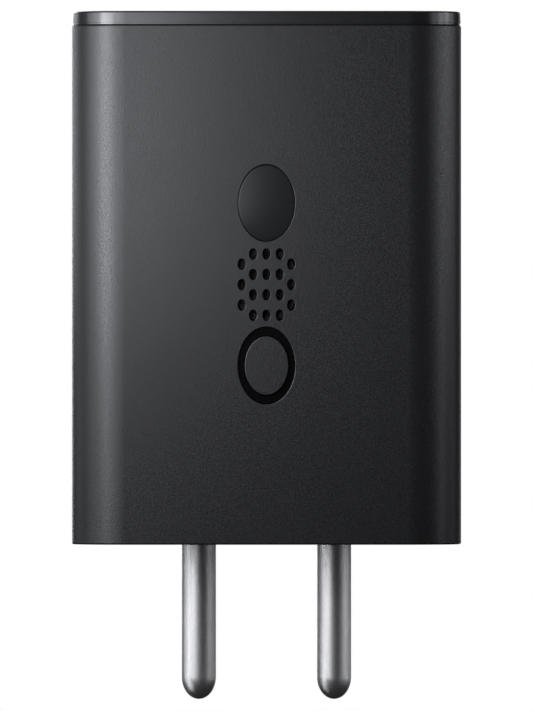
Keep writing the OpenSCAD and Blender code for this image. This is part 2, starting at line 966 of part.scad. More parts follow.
module transformer_winding() {
    z = window_z - bobbin_flange_t - 2 * play;
    tape_inset = 0.2;
    tape_gap = 0.02;
    color(cap_yellow)
        transformer_place()
            difference() {
                rod_z(2 * (bobbin_r - tape_inset), -z, z, 0, 0);
                rod_z(2 * (bobbin_tube_r + tape_gap), -z - over, z + over, 0, 0);
            }
}

// Puts a part that is drawn standing on z = 0 onto the power board, at [x, z]
module on_power_board(place) {
    translate([place[0], power_board_y, place[1]])
        rotate([90, 0, 0])
            children();
}

// A round capacitor, with the pressed ring near its seal
module round_capacitor(d, len, place) {
    ring = 1.6;
    groove = 0.35;
    edge = 0.6;
    r = d / 2;
    on_power_board(place)
        rotate_extrude()
            polygon([[0, 0], [r - 0.2, 0], [r, 0.3], [r, ring], [r - groove, ring + 0.5],
                [r, ring + 1], [r, len - edge], [r - edge, len], [0, len]]);
}

module input_capacitor() {
    color(part_blue)
        round_capacitor(10, 14, input_capacitor_at);
}

module output_capacitor() {
    color(gloss_black)
        round_capacitor(6.3, 9, output_capacitor_at);
}

module x_capacitor() {
    color(cap_yellow)
        on_power_board(x_capacitor_at)
            linear_extrude(11)
                rounded_rect(13, 5.6, 0.8);
}

// A ceramic tube fuse with metal end caps, on two leads
module fuse() {
    tube_d = 3.8;
    cap_d = 4.2;
    half_len = 5;
    cap_len = 2;
    lead_d = 0.8;
    height = 3;
    color(ivory)
        on_power_board(fuse_at) {
            translate([0, 0, height])
                rotate([0, 90, 0]) {
                    cylinder(d = tube_d, h = 2 * half_len - 0.2, center = true);
                    for (side = [-1, 1])
                        translate([0, 0, side * (half_len - cap_len / 2)])
                            cylinder(d = cap_d, h = cap_len, center = true);
                }
            for (side = [-1, 1])
                rod_z(lead_d, 0, height, side * (half_len - lead_d), 0);
        }
}

module varistor() {
    disc_d = 9;
    disc_t = 3.6;
    lead_d = 0.7;
    height = 6;
    color(part_blue)
        on_power_board(varistor_at) {
            translate([0, 0, height])
                rotate([0, 90, 0])
                    cylinder(d = disc_d, h = disc_t, center = true);
            for (side = [-1, 1])
                rod_z(lead_d, 0, height, side * 0.8, side * 2.5);
        }
}

module bridge_rectifier() {
    size = [6.6, 4.6];
    foot = [1, 0.8, 0.5];
    color(gloss_black)
        on_power_board(rectifier_at) {
            linear_extrude(2.6)
                rounded_rect(size[0], size[1], 0.3);
            for (sx = [-1, 1], sy = [-1, 1])
                translate([sx * 2 - foot[0] / 2, sy * size[1] / 2 - foot[1] / 2, 0])
                    cube(foot);
        }
}

module filter_choke() {
    drum_d = 7;
    drum_h = 9;
    flange = 1;
    color(copper)
        on_power_board(choke_at) {
            cylinder(d = drum_d, h = flange);
            cylinder(d = drum_d - 1, h = drum_h);
            translate([0, 0, drum_h - flange])
                cylinder(d = drum_d, h = flange);
        }
}

// ---- outlet ----

module outlet_carrier() {
    chamber_x = half_pitch + blade_w / 2 + chamber_play;
    chamber_front = -blade_len / 2 - 2 * chamber_play;
    slot_w = strap_w + 2 * well_play;
    leg_y = power_board_y - metal_t;
    color(ivory) {
        difference() {
            union() {
                block([-carrier_x, carrier_front, carrier_bottom], [carrier_x, carrier_back, carrier_top]);
                block([-ear_x - ear_w / 2, -ear_half_d, ear_z],
                    [ear_x + ear_w / 2, ear_half_d, ear_z + ear_t]);
            }
            block([-chamber_x, chamber_front, chamber_floor], [chamber_x, chamber_back, carrier_top + over]);
            for (side = [-1, 1]) {
                rod_z(contact_d + 2 * well_play, contact_low - 0.1, chamber_floor + over,
                    side * half_pitch, 0);
                translate([side * half_pitch, 0, 0]) {
                    block([-slot_w / 2, 0, contact_low - 0.1],
                        [slot_w / 2, power_board_y + well_play, contact_low + metal_t + well_play]);
                    block([-slot_w / 2, leg_y - well_play, carrier_bottom - over],
                        [slot_w / 2, power_board_y + well_play, contact_low + metal_t + well_play]);
                }
                rod_z(ear_shank_d + through_play, ear_z - over, ear_z + ear_t + over, side * ear_x, 0);
            }
            block([-hollow_x, carrier_front + carrier_wall, carrier_bottom - over],
                [hollow_x, chamber_back - carrier_wall, chamber_floor - carrier_wall]);
        }
        rod_y(peg_d, chamber_back - peg_len, chamber_back + fuse_in, 0, spring_z);
    }
}

// Side view of one blade: its top slopes, so that a pin pushes it back as it comes down
module shutter_blade() {
    low_edge = 0.5;
    rotate([90, 0, 90])
        linear_extrude(blade_w, center = true)
            polygon([[-blade_len / 2, 0], [blade_len / 2, 0], [blade_len / 2, blade_h],
                [blade_len / 2 - 0.6, blade_h], [-blade_len / 2, low_edge]]);
}

module outlet_shutter() {
    color(ivory) {
        for (side = [-1, 1])
            translate([side * half_pitch, 0, shutter_low])
                shutter_blade();
        block([-half_pitch, spring_front - bridge_t, shutter_low],
            [half_pitch, spring_front, shutter_low + bridge_h]);
        rod_y(peg_d, spring_front - fuse_in, spring_front + peg_len, 0, spring_z);
    }
}

// Points of one ring of the spring wire, at the share s of its length
spring_sides = 8;
spring_steps = 18 * spring_turns;
spring_r = (spring_d - spring_wire) / 2;
spring_span = chamber_back - spring_front - spring_wire;

function ring_points(s) =
    [for (k = [0:spring_sides - 1])
        let (turn = 360 * spring_turns * s,
            around = 360 * k / spring_sides,
            reach = spring_r + cos(around) * spring_wire / 2)
        [reach * cos(turn), spring_span * s + sin(around) * spring_wire / 2, reach * sin(turn)]];

module shutter_spring() {
    points = [for (i = [0:spring_steps]) each ring_points(i / spring_steps)];
    last = spring_steps * spring_sides;
    sides = [for (i = [0:spring_steps - 1], k = [0:spring_sides - 1])
        let (a = i * spring_sides, b = a + spring_sides, next = (k + 1) % spring_sides)
        [a + k, b + k, b + next, a + next]];
    first_end = [for (k = [0:spring_sides - 1]) k];
    last_end = [for (k = [spring_sides - 1:-1:0]) last + k];
    color(steel)
        translate([0, spring_front + spring_wire / 2, spring_z])
            polyhedron(points = points, faces = concat(sides, [first_end], [last_end]));
}

// A split tube that grips a pin, with a leg down to the power board
module outlet_contact() {
    slit = 0.8;
    slit_low = 2;
    strap_front = 1;
    tube_len = contact_high - contact_low;
    color(brass) {
        translate([0, 0, contact_low])
            difference() {
                cylinder(d = contact_d, h = tube_len);
                translate([0, 0, metal_t])
                    cylinder(d = pin_d, h = tube_len);
                for (turn = [45, 135])
                    rotate([0, 0, turn])
                        translate([-contact_d, -slit / 2, slit_low])
                            cube([2 * contact_d, slit, tube_len]);
            }
        block([-strap_w / 2, strap_front, contact_low],
            [strap_w / 2, power_board_y, contact_low + metal_t]);
        block([-strap_w / 2, power_board_y - metal_t, leg_low],
            [strap_w / 2, power_board_y, contact_low + metal_t]);
    }
}

module outlet_contact_left() {
    translate([-half_pitch, 0, 0])
        outlet_contact();
}

module outlet_contact_right() {
    translate([half_pitch, 0, 0])
        outlet_contact();
}

module carrier_screws() {
    hole_spare = 1;
    shank_len = cap_hole_top - ear_z - hole_spare;
    color(steel)
        for (side = [-1, 1])
            translate([side * ear_x, 0, ear_z - ear_head_h])
                screw(ear_head_d, ear_head_h, ear_shank_d, shank_len);
}

housing();
top_cap();
base_plate();
base_screws();
pin_left();
pin_right();
power_button();
pairing_button();
ring_light_guide();
grille_mesh();
buzzer_gasket();
buzzer();
control_board();
control_board_screws();
power_switch();
power_switch_plunger();
pairing_switch();
pairing_switch_plunger();
status_leds();
wifi_module();
board_header();
header_socket();
power_board();
strap_left();
strap_right();
relay_base();
relay_cover();
relay_coil();
relay_yoke();
relay_armature();
relay_contact_blade();
relay_fixed_contact();
transformer_core();
transformer_bobbin();
transformer_winding();
input_capacitor();
output_capacitor();
x_capacitor();
fuse();
varistor();
bridge_rectifier();
filter_choke();
outlet_carrier();
outlet_shutter();
shutter_spring();
outlet_contact_left();
outlet_contact_right();
carrier_screws();
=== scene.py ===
# Looks of the two-pin smart plug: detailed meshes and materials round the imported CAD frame.
# Lengths are millimetres in the CAD frame until a mesh is made, which scales them to metres.
import json
import math

import bmesh
import bpy
from mathutils import Matrix, Vector


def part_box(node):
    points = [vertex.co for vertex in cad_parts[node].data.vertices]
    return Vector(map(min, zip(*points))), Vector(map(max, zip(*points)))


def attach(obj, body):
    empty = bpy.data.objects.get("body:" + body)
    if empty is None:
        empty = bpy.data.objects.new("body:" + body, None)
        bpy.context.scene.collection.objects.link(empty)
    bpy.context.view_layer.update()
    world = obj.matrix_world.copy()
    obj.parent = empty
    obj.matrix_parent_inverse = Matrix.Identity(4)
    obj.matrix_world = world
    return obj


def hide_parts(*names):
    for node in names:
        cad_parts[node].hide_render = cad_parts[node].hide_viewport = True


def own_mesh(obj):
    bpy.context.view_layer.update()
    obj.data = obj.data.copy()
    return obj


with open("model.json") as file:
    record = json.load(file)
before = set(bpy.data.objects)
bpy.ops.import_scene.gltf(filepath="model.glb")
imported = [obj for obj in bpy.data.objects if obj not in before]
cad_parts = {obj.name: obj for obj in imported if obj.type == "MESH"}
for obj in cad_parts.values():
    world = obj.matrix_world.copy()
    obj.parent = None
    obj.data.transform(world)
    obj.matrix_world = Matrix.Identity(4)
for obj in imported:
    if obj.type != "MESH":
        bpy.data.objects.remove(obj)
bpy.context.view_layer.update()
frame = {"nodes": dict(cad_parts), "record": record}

MM = 0.001


def box_mm(node):
    """Lowest and highest corner of a CAD node, in millimetres."""
    return [[c / MM for c in corner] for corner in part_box(node)]


# ---- sizes, read from the frame where it has them ----

housing_high = box_mm("housing")[1]
cap_top = box_mm("top_cap")[1][2]
tower_top = box_mm("base_plate")[1][2]
pin_low, pin_high = box_mm("pin_right")
button_low, button_high = box_mm("power_button")
island_low, island_high = box_mm("pairing_button")
guide_low, guide_high = box_mm("ring_light_guide")
mesh_low, mesh_high = box_mm("grille_mesh")
spring_low, spring_high = box_mm("shutter_spring")

body_w = 2 * housing_high[0]
body_d = 2 * housing_high[1]
housing_h = housing_high[2]
front_y = -body_d / 2
half_pitch = (pin_low[0] + pin_high[0]) / 2
power_z = (button_low[2] + button_high[2]) / 2
ring_z = (island_low[2] + island_high[2]) / 2
grille_z = (mesh_low[2] + mesh_high[2]) / 2

wall = 2
corner_r = 7.5
inner_front = front_y + wall
cavity_w = body_w - 2 * wall
cavity_d = body_d - 2 * wall
base_t = 3
fuse_in = 0.3  # how far a joined shape reaches into the other
over = 1  # how far a cut reaches past the surface

hook_x = 16  # the cap's hooks, on the front and back walls
barb_reach = 0.75

oval_w = 8.0
oval_h = 10.8
button_gap = 0.06
lip_reach = 0.9  # how much wider the lips behind the front wall are than its openings
rim_fillet = 0.13

CONTACT_EASE = 0.05  # how much lower the relay's domes are than in the CAD, so that they only meet

SQUARE = ((-1, -1), (1, -1), (1, 1), (-1, 1))  # signs of a square's corners, in order
STEPS = 24  # points in each rounded corner of the body
OVAL_STEPS = 96
ROUND_STEPS = 48
FINE_STEPS = 96  # for the pins and the outlet openings
SHARP_ANGLE = 40  # edges sharper than this are rounded


# ---- mesh building ----

def rect_loop(w, d, r, z):
    """A rounded rectangle at height z, anticlockwise from above."""
    points = []
    for cx, cy, start in ((1, 1, 0), (-1, 1, 90), (-1, -1, 180), (1, -1, 270)):
        for i in range(STEPS + 1):
            turn = math.radians(start + 90 * i / STEPS)
            x = cx * (w / 2 - r) + r * math.cos(turn)
            y = cy * (d / 2 - r) + r * math.sin(turn)
            points.append((x, y, z))
    return points


def body_loop(inset, z):
    """The body's outline, moved in by inset, at height z."""
    return rect_loop(body_w - 2 * inset, body_d - 2 * inset, corner_r - inset, z)


def circle(steps):
    """The angles of points spread evenly round a circle."""
    return [2 * math.pi * i / steps for i in range(steps)]


def oval_loop(w, h, y, x=0, z=0, steps=OVAL_STEPS):
    """An upright oval in the plane y."""
    return [(x + w / 2 * math.cos(t), y, z + h / 2 * math.sin(t)) for t in circle(steps)]


def oval_stack(sizes, z):
    """Upright ovals one behind another, from triples of width, height and y."""
    return [oval_loop(w, h, y, 0, z) for w, h, y in sizes]


def round_loop(r, z, x=0, steps=ROUND_STEPS):
    """A level circle at height z."""
    return [(x + r * math.cos(t), r * math.sin(t), z) for t in circle(steps)]


def skin(loops, ring=False):
    """Vertices and faces of a closed surface through loops; a ring joins the last loop to the first."""
    n = len(loops[0])
    verts = [p for loop in loops for p in loop]
    faces = []
    for i in range(len(loops) if ring else len(loops) - 1):
        a = i * n
        b = (i + 1) % len(loops) * n
        faces += [(a + k, a + (k + 1) % n, b + (k + 1) % n, b + k) for k in range(n)]
    if not ring:
        faces += [tuple(range(n - 1, -1, -1)), tuple(range(len(verts) - n, len(verts)))]
    return verts, faces


def solid(name, surface):
    """An object, in millimetres, from vertices and faces."""
    mesh = bpy.data.meshes.new(name)
    mesh.from_pydata(surface[0], [], surface[1])
    built = bmesh.new()
    built.from_mesh(mesh)
    bmesh.ops.recalc_face_normals(built, faces=built.faces)
    built.to_mesh(mesh)
    built.free()
    made = bpy.data.objects.new(name, mesh)
    bpy.context.scene.collection.objects.link(made)
    return made


def box_surface(low, high):
    """Vertices and faces of a plain box."""
    corners = ((low[0], low[1]), (high[0], low[1]), (high[0], high[1]), (low[0], high[1]))
    return skin([[(x, y, z) for x, y in corners] for z in (low[2], high[2])])


def upright(profile, x=0, steps=ROUND_STEPS):
    """A surface turned about an upright axis at x, from pairs of radius and height."""
    return skin([round_loop(r, z, x, steps) for r, z in profile])


def slab(outline, front, back):
    """A surface round a flat shape, given as pairs of x and z, from front to back along Y."""
    return skin([[(x, y, z) for x, z in outline] for y in (front, back)])


def as_tool(surface):
    """A solid for cutting or joining, which boolean removes again."""
    return solid("tool", surface)


def block(corner, opposite):
    """A plain box between two opposite corners, as a tool."""
    low, high = zip(*(sorted(pair) for pair in zip(corner, opposite)))
    return as_tool(box_surface(low, high))


def rod(r, low, high, x):
    """An upright rod, as a tool."""
    return as_tool(upright(((r, low), (r, high)), x))


def rod_back(r, front, back, x, z):
    """A rod along Y, as a tool."""
    return as_tool(skin([oval_loop(2 * r, 2 * r, y, x, z, ROUND_STEPS) for y in (front, back)]))


def boolean(target, operation, tools):
    """Joins or cuts target with all the tools at once, and removes them."""
    group = bpy.data.collections.new("tools")
    for tool in tools:
        group.objects.link(tool)
    add_modifier(target, "BOOLEAN", operation=operation, operand_type="COLLECTION", collection=group,
                 solver="EXACT")
    state = bpy.context.evaluated_depsgraph_get()
    changed = bpy.data.meshes.new_from_object(target.evaluated_get(state))
    target.modifiers.clear()
    target.data = changed
    for tool in tools:
        bpy.data.objects.remove(tool)
    bpy.data.collections.remove(group)


def paint(piece, slot):
    """Gives a piece the material of a slot, and no other."""
    piece.data.materials.clear()
    piece.data.materials.append(bpy.data.materials[slot])


def add_modifier(piece, kind, **values):
    """A modifier with its properties set."""
    made = piece.modifiers.new(kind.lower(), kind)
    for name, value in values.items():
        setattr(made, name, value)


def finish_piece(piece, slot, *nodes, body="plug_body", sharp=35):
    """Cleans and scales a piece, shades it smooth, and ties it to its slot, CAD nodes and body."""
    built = bmesh.new()
    built.from_mesh(piece.data)
    bmesh.ops.remove_doubles(built, verts=built.verts, dist=0.002)
    bmesh.ops.dissolve_degenerate(built, edges=built.edges, dist=0.002)
    bmesh.ops.scale(built, vec=(MM, MM, MM), verts=built.verts)
    built.to_mesh(piece.data)
    built.free()
    piece.data.shade_smooth()
    piece.data.set_sharp_from_angle(angle=math.radians(sharp))
    add_modifier(piece, "WEIGHTED_NORMAL", keep_sharp=True)
    paint(piece, slot)
    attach(piece, body)
    if nodes:
        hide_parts(*nodes)
    return piece


def add_piece(name, surface, slot, *nodes, sharp=35):
    """A finished piece of the plug's body, straight from its surface."""
    return finish_piece(solid(name, surface), slot, *nodes, sharp=sharp)


def quarter(count):
    """Sine and cosine pairs along a quarter circle, from (0, 1) to (1, 0)."""
    turns = [math.pi / 2 * i / count for i in range(count + 1)]
    return [(math.sin(t), math.cos(t)) for t in turns]


# ---- materials ----

def add_node(tree, kind, **values):
    """A node with its properties, or with its inputs by name, set."""
    made = tree.nodes.new(kind)
    for name, value in values.items():
        if hasattr(made, name):
            setattr(made, name, value)
        else:
            made.inputs[name.replace("_", " ")].default_value = value
    return made


def noise(tree, place, size_mm, detail=3.0):
    """A noise of about size_mm, read at a place in metres."""
    made = add_node(tree, "ShaderNodeTexNoise", Scale=1 / (size_mm * MM), Detail=detail, Roughness=0.55)
    tree.links.new(place, made.inputs["Vector"])
    return made.outputs["Fac"]


def blend_range(tree, value, low, high):
    """Maps the middle of a noise's range to low..high."""
    made = add_node(tree, "ShaderNodeMapRange", From_Min=0.3, From_Max=0.7, To_Min=low, To_Max=high)
    tree.links.new(value, made.inputs["Value"])
    return made.outputs["Result"]


def blend_colour(tree, value, first, second):
    """A colour between first and second by a value from 0 to 1."""
    made = add_node(tree, "ShaderNodeMix", data_type="RGBA", A=(*first, 1), B=(*second, 1))
    tree.links.new(value, made.inputs["Factor"])
    return made.outputs["Result"]


def bump(tree, height, depth_mm):
    """A bump of depth_mm from a height value."""
    made = add_node(tree, "ShaderNodeBump", Distance=depth_mm * MM, Strength=1.0)
    tree.links.new(height, made.inputs["Height"])
    return made.outputs["Normal"]


def new_material(name, metallic=0.0, coat=0.0, specular=0.5):
    """A new material: its node tree, its shader and the place on the object, in metres."""
    made = bpy.data.materials.new(name)
    made.use_nodes = True
    tree = made.node_tree
    shader = tree.nodes["Principled BSDF"]
    for socket, number in (("Metallic", metallic), ("Coat Weight", coat), ("Coat Roughness", 0.1),
                           ("Specular IOR Level", specular)):
        shader.inputs[socket].default_value = number
    place = tree.nodes.new("ShaderNodeTexCoord").outputs["Object"]
    return tree, shader, place


def stretch(tree, place, scale):
    """The place, scaled along each axis, for brushed and drawn grains."""
    made = add_node(tree, "ShaderNodeMapping", Scale=scale)
    tree.links.new(place, made.inputs["Vector"])
    return made.outputs["Vector"]


def grained(name, dark, light, rough, grain_mm, grain_deep, patch_mm=6.0, drawn=None, **shader_values):
    """Patchy colour, uneven gloss and a fine grain, which drawn scales along each axis."""
    tree, shader, place = new_material(name, **shader_values)
    patch = noise(tree, place, patch_mm)
    fine = noise(tree, stretch(tree, place, drawn) if drawn else place, grain_mm, 4.0)
    tree.links.new(blend_colour(tree, patch, dark, light), shader.inputs["Base Color"])
    tree.links.new(blend_range(tree, fine, *rough), shader.inputs["Roughness"])
    tree.links.new(bump(tree, fine, grain_deep), shader.inputs["Normal"])


def drawn_metal(name, dark, light, rough, drawn, grain_mm=0.25, grain_deep=0.002, patch_mm=3.0):
    """Metal with a grain that the drawing, rolling or turning of the part leaves."""
    grained(name, dark, light, rough, grain_mm, grain_deep, patch_mm, drawn, metallic=1.0)


def make_materials():
    """A procedural material for every slot of the record, in place of the frame's plain ones."""
    for plain in list(bpy.data.materials):
        bpy.data.materials.remove(plain)
    grained("housing_plastic", (0.0108, 0.0110, 0.0114), (0.0128, 0.0130, 0.0134), (0.29, 0.50), 0.22, 0.022)
    grained("base_plastic", (0.0108, 0.0110, 0.0114), (0.0135, 0.0137, 0.0142), (0.38, 0.48), 0.25, 0.005)
    grained("cap_plastic", (0.0085, 0.0087, 0.0092), (0.0100, 0.0102, 0.0107), (0.24, 0.27), 0.6, 0.0004,
            specular=0.75)
    grained("button_plastic", (0.0085, 0.0087, 0.0092), (0.0100, 0.0102, 0.0107), (0.30, 0.34), 0.3, 0.0003,
            specular=0.28)
    grained("light_guide", (0.0012, 0.0012, 0.0014), (0.0020, 0.0020, 0.0024), (0.25, 0.32), 0.5, 0.0003,
            specular=0.08)
    drawn_metal("pin_nickel", (0.50, 0.496, 0.49), (0.76, 0.754, 0.745), (0.32, 0.48), (1, 1, 1.5), 0.13,
                0.02, patch_mm=0.22)
    drawn_metal("screw_steel", (0.40, 0.40, 0.41), (0.52, 0.52, 0.52), (0.25, 0.40), (1, 1, 1))
    drawn_metal("switch_metal", (0.58, 0.58, 0.59), (0.66, 0.66, 0.66), (0.28, 0.42), (1, 1, 6))
    drawn_metal("shield_metal", (0.58, 0.58, 0.59), (0.66, 0.66, 0.66), (0.30, 0.44), (6, 1, 1))
    drawn_metal("spring_steel", (0.46, 0.46, 0.47), (0.56, 0.56, 0.57), (0.22, 0.36), (1, 1, 1), 0.1)
    drawn_metal("magnet_iron", (0.42, 0.42, 0.43), (0.52, 0.52, 0.52), (0.30, 0.46), (1, 1, 5))
    drawn_metal("contact_brass", (0.70, 0.50, 0.22), (0.78, 0.60, 0.30), (0.24, 0.40), (1, 1, 6))
    drawn_metal("spring_copper", (0.66, 0.33, 0.19), (0.74, 0.40, 0.25), (0.24, 0.38), (1, 1, 6))
    grained("copper_wire", (0.40, 0.13, 0.045), (0.56, 0.20, 0.07), (0.18, 0.30), 0.6, 0.001, coat=0.6)
    grained("mesh_cloth", (0.006, 0.006, 0.0065), (0.010, 0.010, 0.0105), (0.60, 0.75), 0.08, 0.004, 0.5)
    grained("foam", (0.020, 0.020, 0.021), (0.032, 0.032, 0.033), (0.85, 0.95), 0.18, 0.03, 1.0)
    grained("black_component", (0.018, 0.018, 0.019), (0.028, 0.028, 0.029), (0.42, 0.55), 0.2, 0.003, 3.0)
    grained("circuit_board", (0.012, 0.085, 0.042), (0.020, 0.125, 0.062), (0.22, 0.34), 1.0, 0.004, 2.0,
            coat=0.4)
    grained("led_lens", (0.78, 0.74, 0.50), (0.86, 0.84, 0.70), (0.12, 0.20), 0.4, 0.001, 0.8)
    grained("ivory_plastic", (0.66, 0.63, 0.54), (0.72, 0.70, 0.62), (0.38, 0.50), 0.3, 0.003)
    grained("shutter_plastic", (0.64, 0.64, 0.62), (0.70, 0.70, 0.68), (0.26, 0.36), 0.3, 0.001)
    grained("relay_plastic", (0.026, 0.070, 0.21), (0.034, 0.088, 0.26), (0.18, 0.26), 0.5, 0.001)
    grained("ferrite", (0.040, 0.040, 0.043), (0.070, 0.070, 0.072), (0.50, 0.68), 0.25, 0.010, 1.5)
    grained("winding_tape", (0.62, 0.42, 0.04), (0.74, 0.54, 0.08), (0.16, 0.24), 0.8, 0.002, coat=0.5)
    grained("capacitor_sleeve", (0.022, 0.034, 0.085), (0.032, 0.048, 0.12), (0.22, 0.32), 0.6, 0.001)
    grained("film_yellow", (0.62, 0.40, 0.030), (0.72, 0.50, 0.05), (0.22, 0.32), 0.4, 0.001)
    grained("fuse_ceramic", (0.72, 0.70, 0.64), (0.80, 0.79, 0.74), (0.30, 0.42), 0.3, 0.002)
    grained("varistor_coat", (0.022, 0.11, 0.28), (0.032, 0.14, 0.36), (0.20, 0.30), 0.7, 0.004)


# ---- exterior pieces ----

def oval_cutter(w, h, z, x=0, back=inner_front + over, fillet=rim_fillet, steps=OVAL_STEPS):
    """Cuts an oval opening through the front wall, with a rounded rim."""
    loops = [oval_loop(w, h, back, x, z, steps), oval_loop(w, h, front_y + fillet, x, z, steps)]
    for s, c in quarter(6)[1:-1]:
        grow = 2 * fillet * (1 - c)
        loops.append(oval_loop(w + grow, h + grow, front_y + fillet * (1 - s), x, z, steps))
    wide = 2 * fillet
    loops.append(oval_loop(w + wide, h + wide, front_y - 0.004, x, z, steps))
    loops.append(oval_loop(w + wide, h + wide, front_y - over, x, z, steps))
    return as_tool(skin(loops))


def sound_hole_places():
    """Places of the 18 sound holes, as x and z."""
    inner_column, outer_column, row_pitch = 1.86, 3.45, 2.85
    inner = [(c * inner_column, grille_z + r * row_pitch)
             for c in (-1, 0, 1) for r in (-1.5, -0.5, 0.5, 1.5)]
    outer = [(c * outer_column, grille_z + r * row_pitch) for c in (-1, 1) for r in (-1, 0, 1)]
    return inner + outer


def make_housing():
    """The case: a shell with its inner bosses and rails, and the openings of the controls."""
    edge, foot_edge, lip = 0.4, 0.25, 0.2
    cavity_r = corner_r - wall
    outer = [body_loop(foot_edge * (1 - s), foot_edge * (1 - c)) for s, c in quarter(4)]
    outer += [body_loop(edge * (1 - c), housing_h - edge * (1 - s)) for s, c in quarter(7)]
    inner = [rect_loop(cavity_w + 2 * lip * (1 - s), cavity_d + 2 * lip * (1 - s), cavity_r + lip * (1 - s),
                       housing_h - lip * (1 - c)) for s, c in quarter(4)]
    inner.append(rect_loop(cavity_w, cavity_d, cavity_r, 0))
    piece = solid("housing_shell", skin(outer + inner, ring=True))

    control_front = inner_front + 4.4
    screw_x, screw_low, screw_high = 14, 16, 50
    boss_x, boss_d, boss_top = 20, 6, 13
    rail_x, rail_t, rail_top = 22, 1.1, 50
    board_y, board_t, play = 9.6, 1.6, 0.1
    standoff_r, standoff_bore, boss_bore = 2.3, 0.9, 1.3
    guide_in, guide_out, guide_deep, guide_half = 4.6, 5.6, 2, 4
    side_reach = cavity_w / 2 + fuse_in
    added = []
    for side in (-1, 1):
        added.append(rod(boss_d / 2, base_t, boss_top, side * boss_x))
        added.append(block((side * boss_x, -boss_d / 4, base_t), (side * side_reach, boss_d / 4, boss_top)))
        for y in (board_y - play - rail_t, board_y + board_t + play):
            added.append(block((side * rail_x, y, base_t), (side * side_reach, y + rail_t, rail_top)))
        added.append(block((side * guide_in, inner_front - fuse_in, power_z - guide_half),
                           (side * guide_out, inner_front + guide_deep, power_z + guide_half)))
        for z in (screw_low, screw_high):
            added.append(rod_back(standoff_r, inner_front - fuse_in, control_front, side * screw_x, z))
    boolean(piece, "UNION", added)

    small_fillet = 0.09
    hole_w, hole_h = 1.1, 1.55
    pocket_w, pocket_h, pocket_skin = 9.4, 10.7, 0.8
    cut = [oval_cutter(oval_w, oval_h, power_z, fillet=small_fillet), oval_cutter(oval_w, oval_h, ring_z)]
    for x, z in sound_hole_places():
        cut.append(oval_cutter(hole_w, hole_h, z, x, back=inner_front, fillet=small_fillet, steps=40))
    boolean(piece, "DIFFERENCE", cut)
    pocket = [(pocket_w, pocket_h, y) for y in (front_y + pocket_skin, inner_front + over)]
    hook_half, hook_low, hook_high = 3.2, 67.0, 68.4
    cut = [as_tool(skin(oval_stack(pocket, grille_z)))]
    for side in (-1, 1):
        cut.append(rod(boss_bore, base_t - over, boss_top - 1, side * boss_x))
        for z in (screw_low, screw_high):
            cut.append(rod_back(standoff_bore, inner_front, control_front + over, side * screw_x, z))
        for wall_side in (-1, 1):
            x, y = side * hook_x, wall_side * cavity_d / 2
            cut.append(block((x - hook_half, y - wall_side * over, hook_low),
                             (x + hook_half, y + wall_side * barb_reach, hook_high)))
    boolean(piece, "DIFFERENCE", cut)
    return finish_piece(piece, "housing_plastic", "housing")


def make_cap():
    """The cap: a glossy lid on a sunk neck, with its skirt, hooks, pegs and outlet openings."""
    inset, seam, draft, foot = 0.07, 0.22, 0.05, 0.04
    chamfer_in = ((0, 0.24), (0.03, 0.19), (0.18, 0.03), (0.24, 0))  # inwards and down from the top edge
    lower = 0.07  # than the CAD's cap
    neck = inset + 0.1
    low = housing_h + seam
    top = cap_top - lower
    loops = [body_loop(neck, housing_h), body_loop(neck, low), body_loop(inset + foot, low)]
    loops += [body_loop(inset + foot * (1 - s), low + foot * (1 - c)) for s, c in quarter(3)[1:]]
    loops += [body_loop(inset + draft + inwards, top - down) for inwards, down in chamfer_in]
    piece = solid("outlet_cap", skin(loops))

    gap, skirt_t = 0.15, 1.4
    skirt_low = housing_h - 3
    skirt_w, skirt_d, skirt_r = cavity_w - 2 * gap, cavity_d - 2 * gap, corner_r - wall - gap
    skirt_top = housing_h + fuse_in / 2
    ring = [rect_loop(skirt_w - 2 * i, skirt_d - 2 * i, skirt_r - i, z)
            for i, z in ((0.2, skirt_low), (0, skirt_low + 0.2), (0, skirt_top), (skirt_t, skirt_top),
                         (skirt_t, skirt_low + 0.1), (skirt_t - 0.1, skirt_low))]
    added = [as_tool(skin(ring, ring=True))]
    hook_half, hook_len, barb_low, barb_high = 3, 3, 2.5, 1.5
    for x in (-hook_x, hook_x):
        for side in (-1, 1):
            back = side * skirt_d / 2
            added.append(block((x - hook_half, back, skirt_low - hook_len),
                               (x + hook_half, back - side * skirt_t, skirt_low + fuse_in)))
            added.append(block((x - hook_half, back - side * fuse_in, skirt_low - barb_low),
                               (x + hook_half, back + side * barb_reach, skirt_low - barb_high)))
    socket_r, socket_deep = 4.5, 2
    peg_x, peg_r, peg_low, peg_bore = 17.5, 2.4, 66.7, 1.15
    for side in (-1, 1):
        added.append(rod(socket_r, housing_h - socket_deep, housing_h + fuse_in, side * half_pitch))
        added.append(rod(peg_r, peg_low, housing_h + fuse_in, side * peg_x))
    for part in added:  # one after another, as some overlap each other
        boolean(piece, "UNION", [part])

    cut = []
    chamfer, soft = 0.4, 0.08
    hole_r = 2.6
    rim_r = hole_r + 2 * chamfer
    profile = [(hole_r, housing_h - socket_deep - over), (hole_r, top - chamfer - soft),
               (hole_r + soft / 3, top - chamfer), (rim_r - soft, top - soft / 2),
               (rim_r + soft, top + 0.005), (rim_r + soft, top + over)]
    for side in (-1, 1):
        cut.append(as_tool(upright(profile, side * half_pitch, FINE_STEPS)))
        cut.append(rod(peg_bore, peg_low - 0.7, housing_h - 1, side * peg_x))
    boolean(piece, "DIFFERENCE", cut)
    return finish_piece(piece, "cap_plastic", "top_cap")


